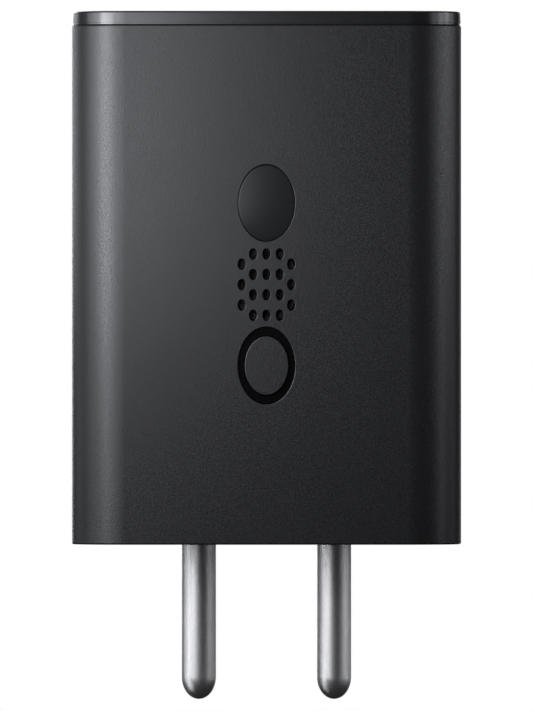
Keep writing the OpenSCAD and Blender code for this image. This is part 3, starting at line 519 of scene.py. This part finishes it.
def make_base():
    """The base cover: a plate with a tower and a low collar round each pin, and two screw holes."""
    gap, edge = 0.1, 0.2
    inset = wall + gap
    tower_r, screw_x = 5, 20
    loops = [body_loop(inset + edge * (1 - s), edge * (1 - c)) for s, c in quarter(3)]
    loops += [body_loop(inset, base_t)]
    piece = solid("base_cover", skin(loops))
    tower = ((tower_r, 1), (tower_r, tower_top - edge), (tower_r - edge, tower_top))
    collar = ((2.85, -0.16), (3, -0.08), (3.05, 0.05))
    added = []
    for side in (-1, 1):
        added += [as_tool(upright(shape, side * half_pitch)) for shape in (tower, collar)]
    boolean(piece, "UNION", added)
    pin_r, bore_r, head_r, shank_r, head_deep, rim = 2.65, 3.6, 2.25, 1.4, 1.8, 0.15
    pin_hole = ((pin_r, -over), (pin_r, base_t), (bore_r, base_t), (bore_r, tower_top + over))
    screw_hole = ((head_r + rim, -over), (head_r + rim, -0.002), (head_r, rim), (head_r, head_deep),
                  (shank_r, head_deep), (shank_r, base_t + over))
    cut = []
    for side in (-1, 1):
        cut.append(as_tool(upright(pin_hole, side * half_pitch)))
        cut.append(as_tool(upright(screw_hole, side * screw_x)))
    boolean(piece, "DIFFERENCE", cut)
    return finish_piece(piece, "base_plastic", "base_plate")


def make_pin(side, name, node):
    """One pin, turned from a profile of radius and height."""
    r, flange_r, flange_top, edge = 2.4, 3.5, 8, 0.1
    neck_r, rivet_r, rivet_low = 1.6, 2.2, 8.8  # the end that holds the strap
    tip_h, tip_steps = 3.1, 18
    longer = 0.25  # than the CAD's pin
    tip = pin_low[2] - longer
    turns = [math.pi / 2 * (i + 0.4) / tip_steps for i in range(tip_steps)]
    profile = [(r * math.sin(t), tip + tip_h * (1 - math.cos(t))) for t in turns]
    profile += [(r, tip + tip_h), (r, 0.1), (r + 0.2, 0.3), (r + 0.2, base_t)]
    profile += [(flange_r - edge, base_t), (flange_r, base_t + edge), (flange_r, flange_top - edge),
                (flange_r - edge, flange_top)]
    profile += [(neck_r, flange_top), (neck_r, rivet_low), (rivet_r - edge, rivet_low),
                (rivet_r, rivet_low + edge), (rivet_r - edge, 9.25), (neck_r, 9.5), (neck_r / 2, 9.6)]
    return add_piece(name, upright(profile, side * half_pitch, FINE_STEPS), "pin_nickel", node)


def make_power_button():
    """The oval button: a low dome, its rim sunk and its middle just in front of the face."""
    w = oval_w - 2 * button_gap
    h = oval_h - 2 * button_gap
    dome_across, dome_up = 54, 30  # radii of the dome's curve along X and along Z
    proud, edge, rings = 0.12, 0.07, 16
    sizes = [((w - 2 * edge) * i / rings, (h - 2 * edge) * i / rings, 0) for i in range(1, rings + 1)]
    sizes += [(w - 2 * edge * (1 - s), h - 2 * edge * (1 - s), edge * (1 - c)) for s, c in quarter(5)[1:]]
    loops = []
    for wide, high, back in sizes:
        flat = oval_loop(wide, high, front_y - proud + back, 0, power_z)
        loops.append([(x, y + x ** 2 / (2 * dome_across) + (z - power_z) ** 2 / (2 * dome_up), z)
                      for x, y, z in flat])
    lip_front, lip_t, lip_edge = inner_front + 0.05, 0.75, 0.1
    lip_w, lip_h, lip_back = oval_w + lip_reach, oval_h + lip_reach, lip_front + lip_t
    lip = ((w, h, lip_front), (lip_w, lip_h, lip_front), (lip_w, lip_h, lip_back),
           (lip_w - 2 * lip_edge, lip_h - 2 * lip_edge, lip_back + lip_edge))
    loops += oval_stack(lip, power_z)
    piece = solid("power_button_cap", skin(loops))
    boolean(piece, "UNION", [rod_back(1.5, lip_front + 0.4, button_high[1], 0, power_z)])
    return finish_piece(piece, "button_plastic", "power_button", body="power_button")


def make_island():
    """The pairing button: the flat island inside the ring, with a lip that holds it in."""
    w, h = 6.1, 8.2
    lip_w, lip_h, lip_edge = 7.0, 8.8, 0.1
    edge = 0.12
    lip_y = inner_front + 0.85
    sizes = [(w - 2 * edge * (1 - s), h - 2 * edge * (1 - s), front_y + edge * (1 - c))
             for s, c in quarter(5)]
    sizes += [(w, h, lip_y), (lip_w, lip_h, lip_y), (lip_w, lip_h, island_high[1] - lip_edge)]
    sizes += [(lip_w - 2 * lip_edge, lip_h - 2 * lip_edge, island_high[1])]
    piece = solid("pairing_button_cap", skin(oval_stack(sizes, ring_z)))
    return finish_piece(piece, "housing_plastic", "pairing_button", body="pairing_button")


def make_ring():
    """The smoked light guide round the island, with four posts to its lamps."""
    outer_w, outer_h = oval_w - 0.1, oval_h - 0.1
    inner_w, inner_h = 6.3, 8.4
    front = guide_low[1]
    edge = 0.05
    lip_back = inner_front + 0.8
    shape = [(outer_w - edge, outer_h - edge, front), (outer_w, outer_h, front + edge),
             (outer_w, outer_h, inner_front), (oval_w + lip_reach, oval_h + lip_reach, inner_front),
             (oval_w + lip_reach, oval_h + lip_reach, lip_back), (inner_w, inner_h, lip_back),
             (inner_w, inner_h, front + edge), (inner_w + edge, inner_h + edge, front)]
    piece = solid("light_ring", skin(oval_stack(shape, ring_z), ring=True))
    posts = [rod_back(0.7, inner_front + 0.3, guide_high[1], x, z)
             for x, z in ((-4.4, ring_z), (4.4, ring_z), (0, ring_z - 5.25), (0, ring_z + 5.25))]
    boolean(piece, "UNION", posts)
    return finish_piece(piece, "light_guide", "ring_light_guide")


def tube(path, r, sides):
    """A closed round wire of radius r along the points of path."""
    points = [Vector(p) for p in path]
    loops = []
    side = None
    for i, point in enumerate(points):
        along = (points[min(i + 1, len(points) - 1)] - points[max(i - 1, 0)]).normalized()
        if side is None:
            side = along.orthogonal().normalized()
        side = (side - along * side.dot(along)).normalized()
        up = along.cross(side)
        loops.append([tuple(point + r * (math.cos(t) * side + math.sin(t) * up)) for t in circle(sides)])
    return skin(loops)


def gather(surfaces):
    """Several closed surfaces as the vertices and faces of one mesh."""
    verts, faces = [], []
    for more_verts, more_faces in surfaces:
        start = len(verts)
        verts += more_verts
        faces += [tuple(start + k for k in face) for face in more_faces]
    return verts, faces


def make_woven_mesh():
    """Fine wires that pass over and under each other, cut to the oval of the pocket."""
    wire_r = 0.048
    pitch = 0.33
    middle_y = (mesh_low[1] + mesh_high[1]) / 2
    half_w, half_h = mesh_high[0] - wire_r, (mesh_high[2] - mesh_low[2]) / 2 - wire_r
    wires = []
    for across in (True, False):
        reach, length = (half_h, half_w) if across else (half_w, half_h)
        rows = int(reach / pitch)
        for row in range(-rows, rows + 1):
            place = row * pitch
            half_len = length * math.sqrt(1 - (place / reach) ** 2)
            count = max(4, int(half_len / pitch * 6))
            path = []
            for i in range(-count, count + 1):
                along = half_len * i / count
                wave = wire_r * math.cos(math.pi * along / pitch) * (1 if (row % 2 == 0) == across else -1)
                x, z = (along, place) if across else (place, along)
                path.append((x, middle_y + wave, grille_z + z))
            wires.append(tube(path, wire_r, 6))
    return add_piece("sound_mesh", gather(wires), "mesh_cloth", "grille_mesh")


def make_gasket():
    """The foam ring of the sounder, squeezed a little at its faces and bulging between them."""
    low, high = box_mm("buzzer_gasket")
    side_wall, end_wall, bulge, steps = 1, 0.85, 0.08, 8
    w, h = high[0] - low[0], high[2] - low[2]
    outer, inner = [], []
    for i in range(steps + 1):
        y = low[1] + (high[1] - low[1]) * i / steps
        drop = 2 * bulge * (1 - math.sin(math.pi * i / steps))
        outer.append(oval_loop(w - drop, h - drop, y, 0, grille_z))
        inner.append(oval_loop(w - 2 * side_wall + drop, h - 2 * end_wall + drop, y, 0, grille_z))
    piece = solid("sounder_gasket", skin(outer + inner[::-1], ring=True))
    finish_piece(piece, "foam", "buzzer_gasket", sharp=60)


def make_spring():
    """The shutter spring: open turns between two closed ends."""
    wire_r, turns, dead = 0.2, 5, 0.75
    outer_r = (spring_high[0] - spring_low[0]) / 2
    coil_r = outer_r - wire_r
    middle_z = (spring_low[2] + spring_high[2]) / 2
    front, back = spring_low[1] + wire_r, spring_high[1] - wire_r
    dead_rise = 0.06
    path = []
    count = 36 * turns
    for i in range(count + 1):
        turn = turns * i / count
        share = min(max((turn - dead) / (turns - 2 * dead), 0), 1)
        ends = dead_rise * (min(turn, dead) / dead + max(turn - turns + dead, 0) / dead)
        y = front + ends + share * (back - front - 2 * dead_rise)
        angle = 2 * math.pi * turn
        path.append((coil_r * math.cos(angle), y, middle_z + coil_r * math.sin(angle)))
    piece = solid("shutter_spring_coil", tube(path, wire_r, 12))
    finish_piece(piece, "spring_steel", "shutter_spring")
    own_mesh(piece)


def screw_surface(head_r, head_h, shank_r, length, pitch):
    """A pan head with a threaded shank along +Z, with its head on z = 0."""
    sides = 32
    thread = 0.16 * pitch + 0.1
    profile = [(0.35 * head_r, 0), (0.8 * head_r, 0.1 * head_h), (0.95 * head_r, 0.25 * head_h),
               (head_r, 0.5 * head_h), (head_r, head_h - 0.08), (head_r - 0.08, head_h), (shank_r, head_h)]
    loops = [round_loop(r, z, steps=sides) for r, z in profile]
    rows = int((length - head_h - shank_r) / pitch * 8)
    for i in range(1, rows + 1):
        z = head_h + i * pitch / 8
        fade = min(1, i / 8, (rows - i) / 6)
        loop = []
        for k, turn in enumerate(circle(sides)):
            ridge = abs(2 * ((z / pitch - k / sides) % 1) - 1)
            r = shank_r - thread * fade * (1 - ridge)
            loop.append((r * math.cos(turn), r * math.sin(turn), z))
        loops.append(loop)
    loops.append(round_loop(0.25 * shank_r, length, steps=sides))
    return skin(loops)


def make_screws(name, node, places, head_r, head_h, shank_r, length, forward):
    """All the screws of one node, each with a cross recess; forward turns them to point along -Y."""
    cross_w, cross_len, cross_deep = head_r * 0.34, head_r * 1.15, head_h * 0.55
    cross_arm = [(cross_len, cross_w, -over), (cross_len * 0.98, cross_w, 0),
                 (cross_len * 0.5, cross_w * 0.6, cross_deep)]
    made = []
    for place in places:
        screw = as_tool(screw_surface(head_r, head_h, shank_r, length, 2 * shank_r * 0.36))
        cuts = [[[(sx * w / 2, sy * d / 2, z) for sx, sy in SQUARE] for w, d, z in arm]
                for arm in (cross_arm, [(d, w, z) for w, d, z in cross_arm])]
        boolean(screw, "DIFFERENCE", [as_tool(skin(loops)) for loops in cuts])
        if forward:
            screw.data.transform(Matrix.Rotation(math.radians(90), 4, "X"))
        screw.data.transform(Matrix.Translation(place))
        made.append(screw)
    whole = gather([([tuple(v.co) for v in m.data.vertices], [tuple(f.vertices) for f in m.data.polygons])
                    for m in made])
    for screw in made:
        bpy.data.objects.remove(screw)
    return add_piece(name, whole, "screw_steel", node)


def make_all_screws():
    """The three sets of screws, each at the places of its bosses."""
    make_screws("case_screws", "base_screws", [(x, 0, 0.3) for x in (-20, 20)],
                head_r=2.1, head_h=1.5, shank_r=1.25, length=11, forward=False)
    make_screws("board_screws", "control_board_screws", [(x, -7, z) for x in (-14, 14) for z in (16, 50)],
                head_r=1.9, head_h=1.4, shank_r=0.85, length=5.6, forward=True)
    make_screws("outlet_screws", "carrier_screws", [(x, 0, 63.2) for x in (-17.5, 17.5)],
                head_r=2.0, head_h=1.5, shank_r=1.1, length=7.5, forward=False)


# ---- inner pieces ----

def soften(piece, width, segments=2):
    """Rounds the sharp edges of a piece by width."""
    built = bmesh.new()
    built.from_mesh(piece.data)
    bmesh.ops.remove_doubles(built, verts=built.verts, dist=0.002)
    limit = math.radians(SHARP_ANGLE)
    edges = [e for e in built.edges if len(e.link_faces) == 2 and e.calc_face_angle() > limit]
    bmesh.ops.bevel(built, geom=edges, offset=width, segments=segments, affect="EDGES", profile=0.5)
    built.to_mesh(piece.data)
    built.free()
    return piece


def turned(profile, place, axis, ring=False):
    """A surface turned about an axis through place, from pairs of radius and distance along the axis."""
    loops = []
    for r, along in profile:
        loop = []
        for turn in circle(ROUND_STEPS):
            spot = [r * math.cos(turn), r * math.sin(turn)]
            spot.insert("XYZ".index(axis), along)
            loop.append(tuple(p + s for p, s in zip(place, spot)))
        loops.append(loop)
    return skin(loops, ring)


def winding(r, bore, low, high, wire):
    """The profile of turns of wire laid side by side round a bore."""
    turns = round((high - low) / wire)
    pitch = (high - low) / turns
    profile = []
    for i in range(turns):
        start = low + i * pitch
        profile += [(r - wire / 2, start), (r - wire / 7, start + pitch / 7), (r, start + pitch / 2),
                    (r - wire / 7, start + pitch * 6 / 7)]
    return profile + [(r - wire / 2, high), (bore, high), (bore, low)]


def soft_ring(r, bore, low, high, edge=0.1):
    """The profile of a flat ring with softened outer edges."""
    return [(bore, low), (r - edge, low), (r, low + edge), (r, high - edge), (r - edge, high), (bore, high)]


def middle(low, high, axis):
    """The middle of a box along one axis (0, 1 or 2)."""
    return (low[axis] + high[axis]) / 2


def round_part(node):
    """Radius, axis, front and back of a round CAD node that lies along Y."""
    low, high = box_mm(node)
    return (high[0] - low[0]) / 2, (middle(low, high, 0), 0, middle(low, high, 2)), low[1], high[1]


def make_relay_coil():
    """The relay's winding and the two flanges of its bobbin."""
    r, place, front, back = round_part("relay_coil")
    bore, flange_t, reach, wire_w = 1.55, 0.7, 0.5, 0.2
    start, end = front + flange_t, back - flange_t
    wire = turned(winding(r - reach, bore, start, end, wire_w), place, "Y", ring=True)
    add_piece("relay_winding", wire, "copper_wire", "relay_coil", sharp=60)
    flanges = [turned(soft_ring(r, bore, y, y + flange_t), place, "Y", ring=True) for y in (front, end)]
    add_piece("relay_coil_flanges", gather(flanges), "ivory_plastic")


def make_choke():
    """A ferrite drum with wire round its waist."""
    r, place, front, back = round_part("filter_choke")
    flange_t, waist, reach, wire_w, edge = 1, 1.5, 0.5, 0.35, 0.15
    start, end = front + flange_t, back - flange_t
    wire = turned(winding(r - reach, waist + 0.02, start, end, wire_w), place, "Y", ring=True)
    add_piece("choke_winding", wire, "copper_wire", "filter_choke", sharp=60)
    drum = [(r - edge, front), (r, front + edge), (r, start - edge), (r - edge, start), (waist, start),
            (waist, end), (r - edge, end), (r, end + edge), (r, back - edge), (r - edge, back)]
    add_piece("choke_drum", turned(drum, place, "Y"), "ferrite")


def make_capacitor(name, node, slot):
    """A round capacitor: a shrunk sleeve, open round a scored metal top."""
    r, place, front, back = round_part(node)
    shoulder = 0.6
    sleeve = [(r - 0.2, back), (r, back - 0.3), (r, back - 1.6), (r - 0.25, back - 1.85)]
    sleeve += [(r - 0.35, back - 2.1), (r - 0.25, back - 2.35), (r, back - 2.6), (r, front + shoulder)]
    sleeve += [(r - shoulder * (1 - c), front + shoulder * (1 - s)) for s, c in quarter(5)[1:]]
    rim = r - 0.9
    sleeve += [(rim, front), (rim, front + 0.15)]
    add_piece(name + "_sleeve", turned(sleeve, place, "Y"), slot, node)
    disc = [(rim - 0.02, front + 0.14), (rim - 0.02, front + 0.06), (rim - 0.1, front + 0.03)]
    top = solid(name + "_top", turned(disc, place, "Y"))
    score, reach, score_end = 0.08, 0.72 * rim, front + 0.08
    cuts = [block((place[0] - x, front - over, place[2] - z), (place[0] + x, score_end, place[2] + z))
            for x, z in ((score, reach), (reach, score))]
    boolean(top, "DIFFERENCE", cuts)
    finish_piece(top, "shield_metal")


def make_fuse():
    """A ceramic tube fuse: the tube, and a metal cup with a lead at each end."""
    low, high = box_mm("fuse")
    r, cap_len = (high[2] - low[2]) / 2, 2
    place = (middle(low, high, 0), low[1] + r, middle(low, high, 2))
    half = (high[0] - low[0]) / 2
    tube_end = half - cap_len + 0.2
    body = turned([(r - 0.2, -tube_end), (r - 0.2, tube_end)], place, "X")
    add_piece("fuse_tube", body, "fuse_ceramic", "fuse")
    ends = []
    for side in (-1, 1):
        cup = [(r * 0.6, side * half), (r * 0.9, side * (half - 0.05)), (r, side * (half - 0.3)),
               (r, side * (half - cap_len + 0.1)), (r - 0.05, side * (half - cap_len)),
               (r - 0.19, side * (half - cap_len)), (r - 0.19, side * (half - cap_len + 0.25))]
        ends.append(turned(cup, place, "X"))
        x = place[0] + side * (half - 0.8)
        ends.append(tube([(x, place[1] + r * 0.95, place[2]), (x, high[1], place[2])], 0.4, 16))
    add_piece("fuse_caps", gather(ends), "switch_metal")


def make_varistor():
    """A dipped disc on edge, with its two leads."""
    low, high = box_mm("varistor")
    r = (high[2] - low[2]) / 2
    half = (high[0] - low[0]) / 2
    place = (middle(low, high, 0), low[1] + r, middle(low, high, 2))
    disc = [(r * 0.5, -half), (r * 0.8, -half * 0.96), (r * 0.93, -half * 0.8), (r, -half * 0.35)]
    disc += [(radius, -along) for radius, along in disc[::-1]]
    add_piece("varistor_disc", turned(disc, place, "X"), "varistor_coat", "varistor")
    leads = []
    for side in (-1, 1):
        x, z = place[0] + side * 0.8, place[2] + side * 2.5
        leads.append(tube([(x, place[1] + r * 0.78, z), (x, high[1], z)], 0.35, 16))
    add_piece("varistor_leads", gather(leads), "switch_metal")


def make_wifi():
    """The radio module: its board, a shield with dimples, and the bent track of the antenna."""
    low, high = box_mm("wifi_module")
    shield_w, edge, track_t = 15, 1, 0.1
    face = low[1] + 2.4
    board = solid("wifi_board", box_surface((low[0], face, low[2]), high))
    finish_piece(soften(board, 0.05), "circuit_board")
    shield_low = (low[0] + edge, low[1], low[2] + edge)
    shield_high = (low[0] + edge + shield_w, face, high[2] - edge)
    shield = solid("wifi_shield", box_surface(shield_low, shield_high))
    soften(shield, 0.3, 3)
    dimples = [rod_back(0.35, low[1] - over, low[1] + 0.12, shield_low[0] + 2 + i * 2.2, shield_low[2] + 1.6)
               for i in range(6)]
    boolean(shield, "DIFFERENCE", dimples)
    finish_piece(shield, "shield_metal", "wifi_module")
    width, pitch = 0.8, 3
    left, right, start = high[0] - 5, high[0] - 1, low[2] + 2
    track = [box_surface((left, face - track_t, start + i * pitch),
                         (right, face + 0.02, start + i * pitch + width)) for i in range(4)]
    for i in range(3):
        x = (right - width, right) if i % 2 == 0 else (left, left + width)
        track.append(box_surface((x[0] + 0.01, face - track_t + 0.01, start + i * pitch + width / 2),
                                 (x[1] - 0.01, face + 0.01, start + (i + 1) * pitch + width / 2)))
    add_piece("wifi_antenna", gather(track), "contact_brass")


def make_header():
    """A pin header: a strip of six cells and their square pins."""
    low, high = box_mm("board_header")
    count, pin_half, notch = 6, 0.32, 0.35
    pitch = (high[2] - low[2]) / count
    body_end = low[1] + (high[0] - low[0])
    x = middle(low, high, 0)
    cells, pins = [], []
    for i in range(count):
        z0, z1 = low[2] + i * pitch + 0.01, low[2] + (i + 1) * pitch - 0.01
        outline = [(low[0] + notch, z0), (high[0] - notch, z0), (high[0], z0 + notch), (high[0], z1 - notch),
                   (high[0] - notch, z1), (low[0] + notch, z1), (low[0], z1 - notch), (low[0], z0 + notch)]
        cells.append(slab(outline, low[1], body_end))
        z = (z0 + z1) / 2
        sizes = ((body_end, pin_half), (high[1] - 0.5, pin_half), (high[1], pin_half / 2))
        pins.append(skin([[(x + a * half, y, z + b * half) for a, b in SQUARE] for y, half in sizes]))
    add_piece("header_strip", gather(cells), "black_component")
    add_piece("header_pins", gather(pins), "contact_brass", "board_header")


def make_rectifier():
    """A small moulded bridge with four flat feet."""
    low, high = box_mm("bridge_rectifier")
    foot_w, foot_d, foot_t = 1, 0.4, 0.5
    case = box_surface((low[0], low[1], low[2] + foot_d), (high[0], high[1], high[2] - foot_d))
    body = soften(solid("rectifier_body", case), 0.25)
    finish_piece(body, "black_component", "bridge_rectifier")
    feet = []
    for side in (-1, 1):
        x = middle(low, high, 0) + side * 2
        for z in (low[2], high[2] - foot_d):
            feet.append(box_surface((x - foot_w / 2, high[1] - foot_t, z),
                                    (x + foot_w / 2, high[1], z + foot_d)))
    add_piece("rectifier_feet", gather(feet), "switch_metal")


def make_moving_contact():
    """The springy arm on the armature, spot-welded twice, with a domed contact."""
    low, high = box_mm("relay_contact_blade")
    coil_low, coil_high = box_mm("relay_coil")
    blade_t, pad, arm = 0.3, 3, 1.5
    front, back = low[1], low[1] + blade_t
    pad_x, pad_z = low[0] + pad, middle(coil_low, coil_high, 2)
    x, z = high[0] - 1.4, low[2] + arm
    outline = [(pad_x, low[2]), (high[0], low[2]), (high[0], z + arm), (pad_x + pad, z + arm),
               (pad_x + pad, high[2]), (low[0], high[2]), (low[0], pad_z - pad), (pad_x, pad_z - pad)]
    blade = solid("relay_blade", slab(outline, front, back))
    soften(blade, 0.05)
    add_contact(blade, x, z, back - blade_t / 2, high[1] - CONTACT_EASE, 1)
    weld_r, weld_deep = 0.5, 0.06
    boolean(blade, "DIFFERENCE", [rod_back(weld_r, front - over, front + weld_deep, pad_x, pad_z + lift)
                                  for lift in (-1, 1.5)])
    finish_piece(blade, "spring_copper", "relay_contact_blade", body="relay_armature")


def make_fixed_contact():
    """The angled terminal of the relay, with a domed contact."""
    low, high = box_mm("relay_fixed_contact")
    x, z = middle(low, high, 0), middle(low, high, 2)
    post_t, plate_t = 0.8, 0.9
    plate_front = low[1] + 0.5
    plate_back = plate_front + plate_t
    outline = [(low[0], plate_front), (high[0], plate_front), (high[0], high[1]),
               (high[0] - post_t, high[1]), (high[0] - post_t, plate_back), (low[0], plate_back)]
    terminal = solid("relay_terminal", skin([[(a, b, c) for a, b in outline] for c in (low[2], high[2])]))
    soften(terminal, 0.08)
    add_contact(terminal, x, z, plate_front + 0.1, low[1] + CONTACT_EASE, -1)
    finish_piece(terminal, "spring_copper", "relay_fixed_contact")


def add_contact(piece, x, z, root, face, way):
    """Joins on a round contact from root to its domed face, which looks along Y by way (1 or -1)."""
    r = 1.2
    drops = ((1, 0.30), (0.97, 0.20), (0.85, 0.10), (0.6, 0.04), (0.3, 0.01), (0.1, 0))
    profile = [(r, root)] + [(r * share, face - way * drop) for share, drop in drops]
    boolean(piece, "UNION", [as_tool(turned(profile, (x, 0, z), "Y"))])


def make_inner_pieces():
    """The parts of the two boards and of the relay that have more shape than the CAD gives them."""
    make_relay_coil()
    make_choke()
    make_capacitor("input_cap", "input_capacitor", "capacitor_sleeve")
    make_capacitor("output_cap", "output_capacitor", "black_component")
    make_fuse()
    make_varistor()
    make_wifi()
    make_header()
    make_rectifier()
    make_moving_contact()
    make_fixed_contact()


# ---- carried-over CAD nodes ----

def dress_nodes():
    """Soft edges and a material on every CAD node that is still shown."""
    slots = {part["node"]: part["material_slot"] for part in frame["record"]["subparts"]}
    for name, node in frame["nodes"].items():
        paint(node, slots[name])
        if node.hide_render:
            continue
        add_modifier(node, "WELD", merge_threshold=0.001 * MM)
        add_modifier(node, "DECIMATE", decimate_type="DISSOLVE", angle_limit=math.radians(0.5))
        add_modifier(node, "BEVEL", width=0.12 * MM, segments=2, limit_method="ANGLE",
                     angle_limit=math.radians(SHARP_ANGLE))
        add_modifier(node, "WELD", merge_threshold=0.004 * MM)  # slivers that the bevel leaves
        add_modifier(node, "WEIGHTED_NORMAL", keep_sharp=True)
        node.data.shade_smooth()


# ---- studio ----

CAMERA_AWAY = 2200
FRAME_H = 99.4  # height of the picture at the plane FRAME_Y, just behind the front face
FRAME_Y = -12
FRAME_MID = 26.42  # height of the middle of the picture
LIGHT_TINT = (0.93, 0.945, 1.0)


def make_camera():
    """A long lens, level with the plug and straight in front of it."""
    camera = bpy.data.objects.new("camera", bpy.data.cameras.new("camera"))
    camera.data.lens = camera.data.sensor_width * (CAMERA_AWAY + FRAME_Y) / FRAME_H
    camera.location = (0, -CAMERA_AWAY * MM, FRAME_MID * MM)
    camera.rotation_euler = (math.radians(90), 0, 0)
    camera.data.clip_start = 0.05
    camera.data.clip_end = 20
    bpy.context.scene.collection.objects.link(camera)
    bpy.context.scene.camera = camera


def softbox(name, place, aim, w, h, watts):
    """A rectangular light at place, turned to aim, in millimetres."""
    light = bpy.data.lights.new(name, "AREA")
    light.shape = "RECTANGLE"
    light.size = w * MM
    light.size_y = h * MM
    light.energy = watts
    light.color = LIGHT_TINT
    made = bpy.data.objects.new(name, light)
    made.location = Vector(place) * MM
    made.rotation_euler = (Vector(aim) - Vector(place)).to_track_quat("-Z", "Y").to_euler()
    made.visible_camera = False
    bpy.context.scene.collection.objects.link(made)
    return made


def around(turn, away, height):
    """A place round the object: turn is in degrees from the front, to the right."""
    angle = math.radians(turn)
    return (away * math.sin(angle), -away * math.cos(angle), height)


def strip_aim(height):
    """The point on the plug's axis that a side strip at a height looks at."""
    return (0, 0, 14 + 0.6 * height)


def make_lights():
    """Close lights on the front left fade over the face, and strips at the sides draw the round edges."""
    centre = (0, 0, 30)
    lights = []
    for name, place, watts in (("key_left", (-60, -60, 55), 0.034), ("key_left_high", (-60, -60, 95), 0.027),
                               ("key_front", (-30, -95, 55), 0.022), ("key_high", (-30, -95, 100), 0.016),
                               ("key_low", (-90, -90, 20), 0.014), ("key_foot", (-45, -75, 12), 0.006)):
        lights.append(softbox(name, place, (0, 0, 6 + 0.8 * place[2]), 34, 45, watts))
    for turn, height, watts in ((-58, 80, 0.037), (-75, 80, 0.030), (-75, 20, 0.009), (-110, 20, 0.008),
                                (-130, 80, 0.025)):
        lights.append(softbox("left_strip", around(turn, 160, height), strip_aim(height), 60, 80, watts))
    for turn, height, watts in ((60, 80, 0.008), (75, 80, 0.019), (90, 80, 0.018), (105, 80, 0.007),
                                (75, 20, 0.010), (105, 20, 0.004)):
        lights.append(softbox("right_strip", around(turn, 160, height), strip_aim(height), 30, 70, watts))
    for name, turn, height, w, h, watts in (("left_front", -45, 65, 110, 130, 0.135),
                                            ("left_side", -70, 30, 110, 130, 0.037),
                                            ("left_back", -160, 110, 70, 260, 0.24),
                                            ("right_back", 156, 30, 70, 260, 0.04)):
        lights.append(softbox(name, around(turn, 300, height), centre, w, h, watts))
    lights.append(softbox("cap_right", around(90, 110, 110), (0, 0, 76), 14, 50, 0.008))
    lights.append(softbox("top", (0, 140, 320), centre, 200, 200, 0.20))
    return lights


def light_only(light, pieces):
    """Makes a light fall on the given pieces only."""
    lit = bpy.data.collections.new("lit_by_" + light.name)
    for piece in pieces:
        lit.objects.link(piece)
    light.light_linking.receiver_collection = lit


def make_cap_light(cap):
    """A strip that fills the cap's gloss where its left corner runs into its flat front."""
    light_only(softbox("cap_left", around(-28, 115, 92), (0, 0, 74), 26, 40, 0.009), [cap])


def make_pin_lights(pins):
    """Small lights low down, which light the pins only."""
    for turn, watts in ((-100, 0.005), (-75, 0.0085), (-25, 0.003), (60, 0.0026), (90, 0.0040),
                        (120, 0.0022)):
        light_only(softbox("pin_light", around(turn, 120, -22), (0, 0, -16), 24, 24, watts), pins)
    light_only(softbox("tip_light", around(-75, 120, -78), (0, 0, -19), 24, 80, 0.024), pins)


def make_world():
    """White behind the object for the camera, and a dim studio for everything else."""
    world = bpy.data.worlds.new("studio")
    world.use_nodes = True
    tree = world.node_tree
    room = tree.nodes["Background"]
    room.inputs["Color"].default_value = (0.92, 0.95, 1.0, 1)
    room.inputs["Strength"].default_value = 0.025
    paper = add_node(tree, "ShaderNodeBackground", Color=(1, 1, 1, 1), Strength=1.0)
    path = tree.nodes.new("ShaderNodeLightPath")
    choose = tree.nodes.new("ShaderNodeMixShader")
    tree.links.new(path.outputs["Is Camera Ray"], choose.inputs[0])
    tree.links.new(room.outputs[0], choose.inputs[1])
    tree.links.new(paper.outputs[0], choose.inputs[2])
    tree.links.new(choose.outputs[0], tree.nodes["World Output"].inputs["Surface"])
    bpy.context.scene.world = world
    bpy.context.scene.view_settings.view_transform = "Standard"


def make_floor(lights):
    """A pale floor below the pins, out of the main view, lit by a wide light of its own."""
    half, depth = 900, -52
    corners = [(-half, -half, depth), (half, -half, depth), (half, half, depth), (-half, half, depth)]
    mesh = bpy.data.meshes.new("floor")
    mesh.from_pydata([[c * MM for c in p] for p in corners], [], [(0, 1, 2, 3)])
    floor = bpy.data.objects.new("floor", mesh)
    bpy.context.scene.collection.objects.link(floor)
    tree, shader, place = new_material("floor_paper")
    tree.links.new(blend_colour(tree, noise(tree, place, 40), (0.80, 0.80, 0.80), (0.83, 0.83, 0.83)),
                   shader.inputs["Base Color"])
    shader.inputs["Roughness"].default_value = 0.7
    paint(floor, "floor_paper")
    floor.visible_glossy = False
    floor.visible_diffuse = False
    unlit = bpy.data.collections.new("unlit_floor")
    unlit.objects.link(floor)
    unlit.collection_objects[0].light_linking.link_state = "EXCLUDE"
    for light in lights:
        light.light_linking.receiver_collection = unlit
    light_only(softbox("floor_light", (0, 0, 2500), (0, 0, 0), 3000, 3000, 108), [floor])


make_camera()
make_world()
make_materials()
make_floor(make_lights())
make_housing()
make_cap_light(make_cap())
make_base()
make_pin_lights([make_pin(-1, "pin_neutral", "pin_left"), make_pin(1, "pin_live", "pin_right")])
make_power_button()
make_island()
make_ring()
make_woven_mesh()
make_gasket()
make_spring()
make_all_screws()
make_inner_pieces()
dress_nodes()
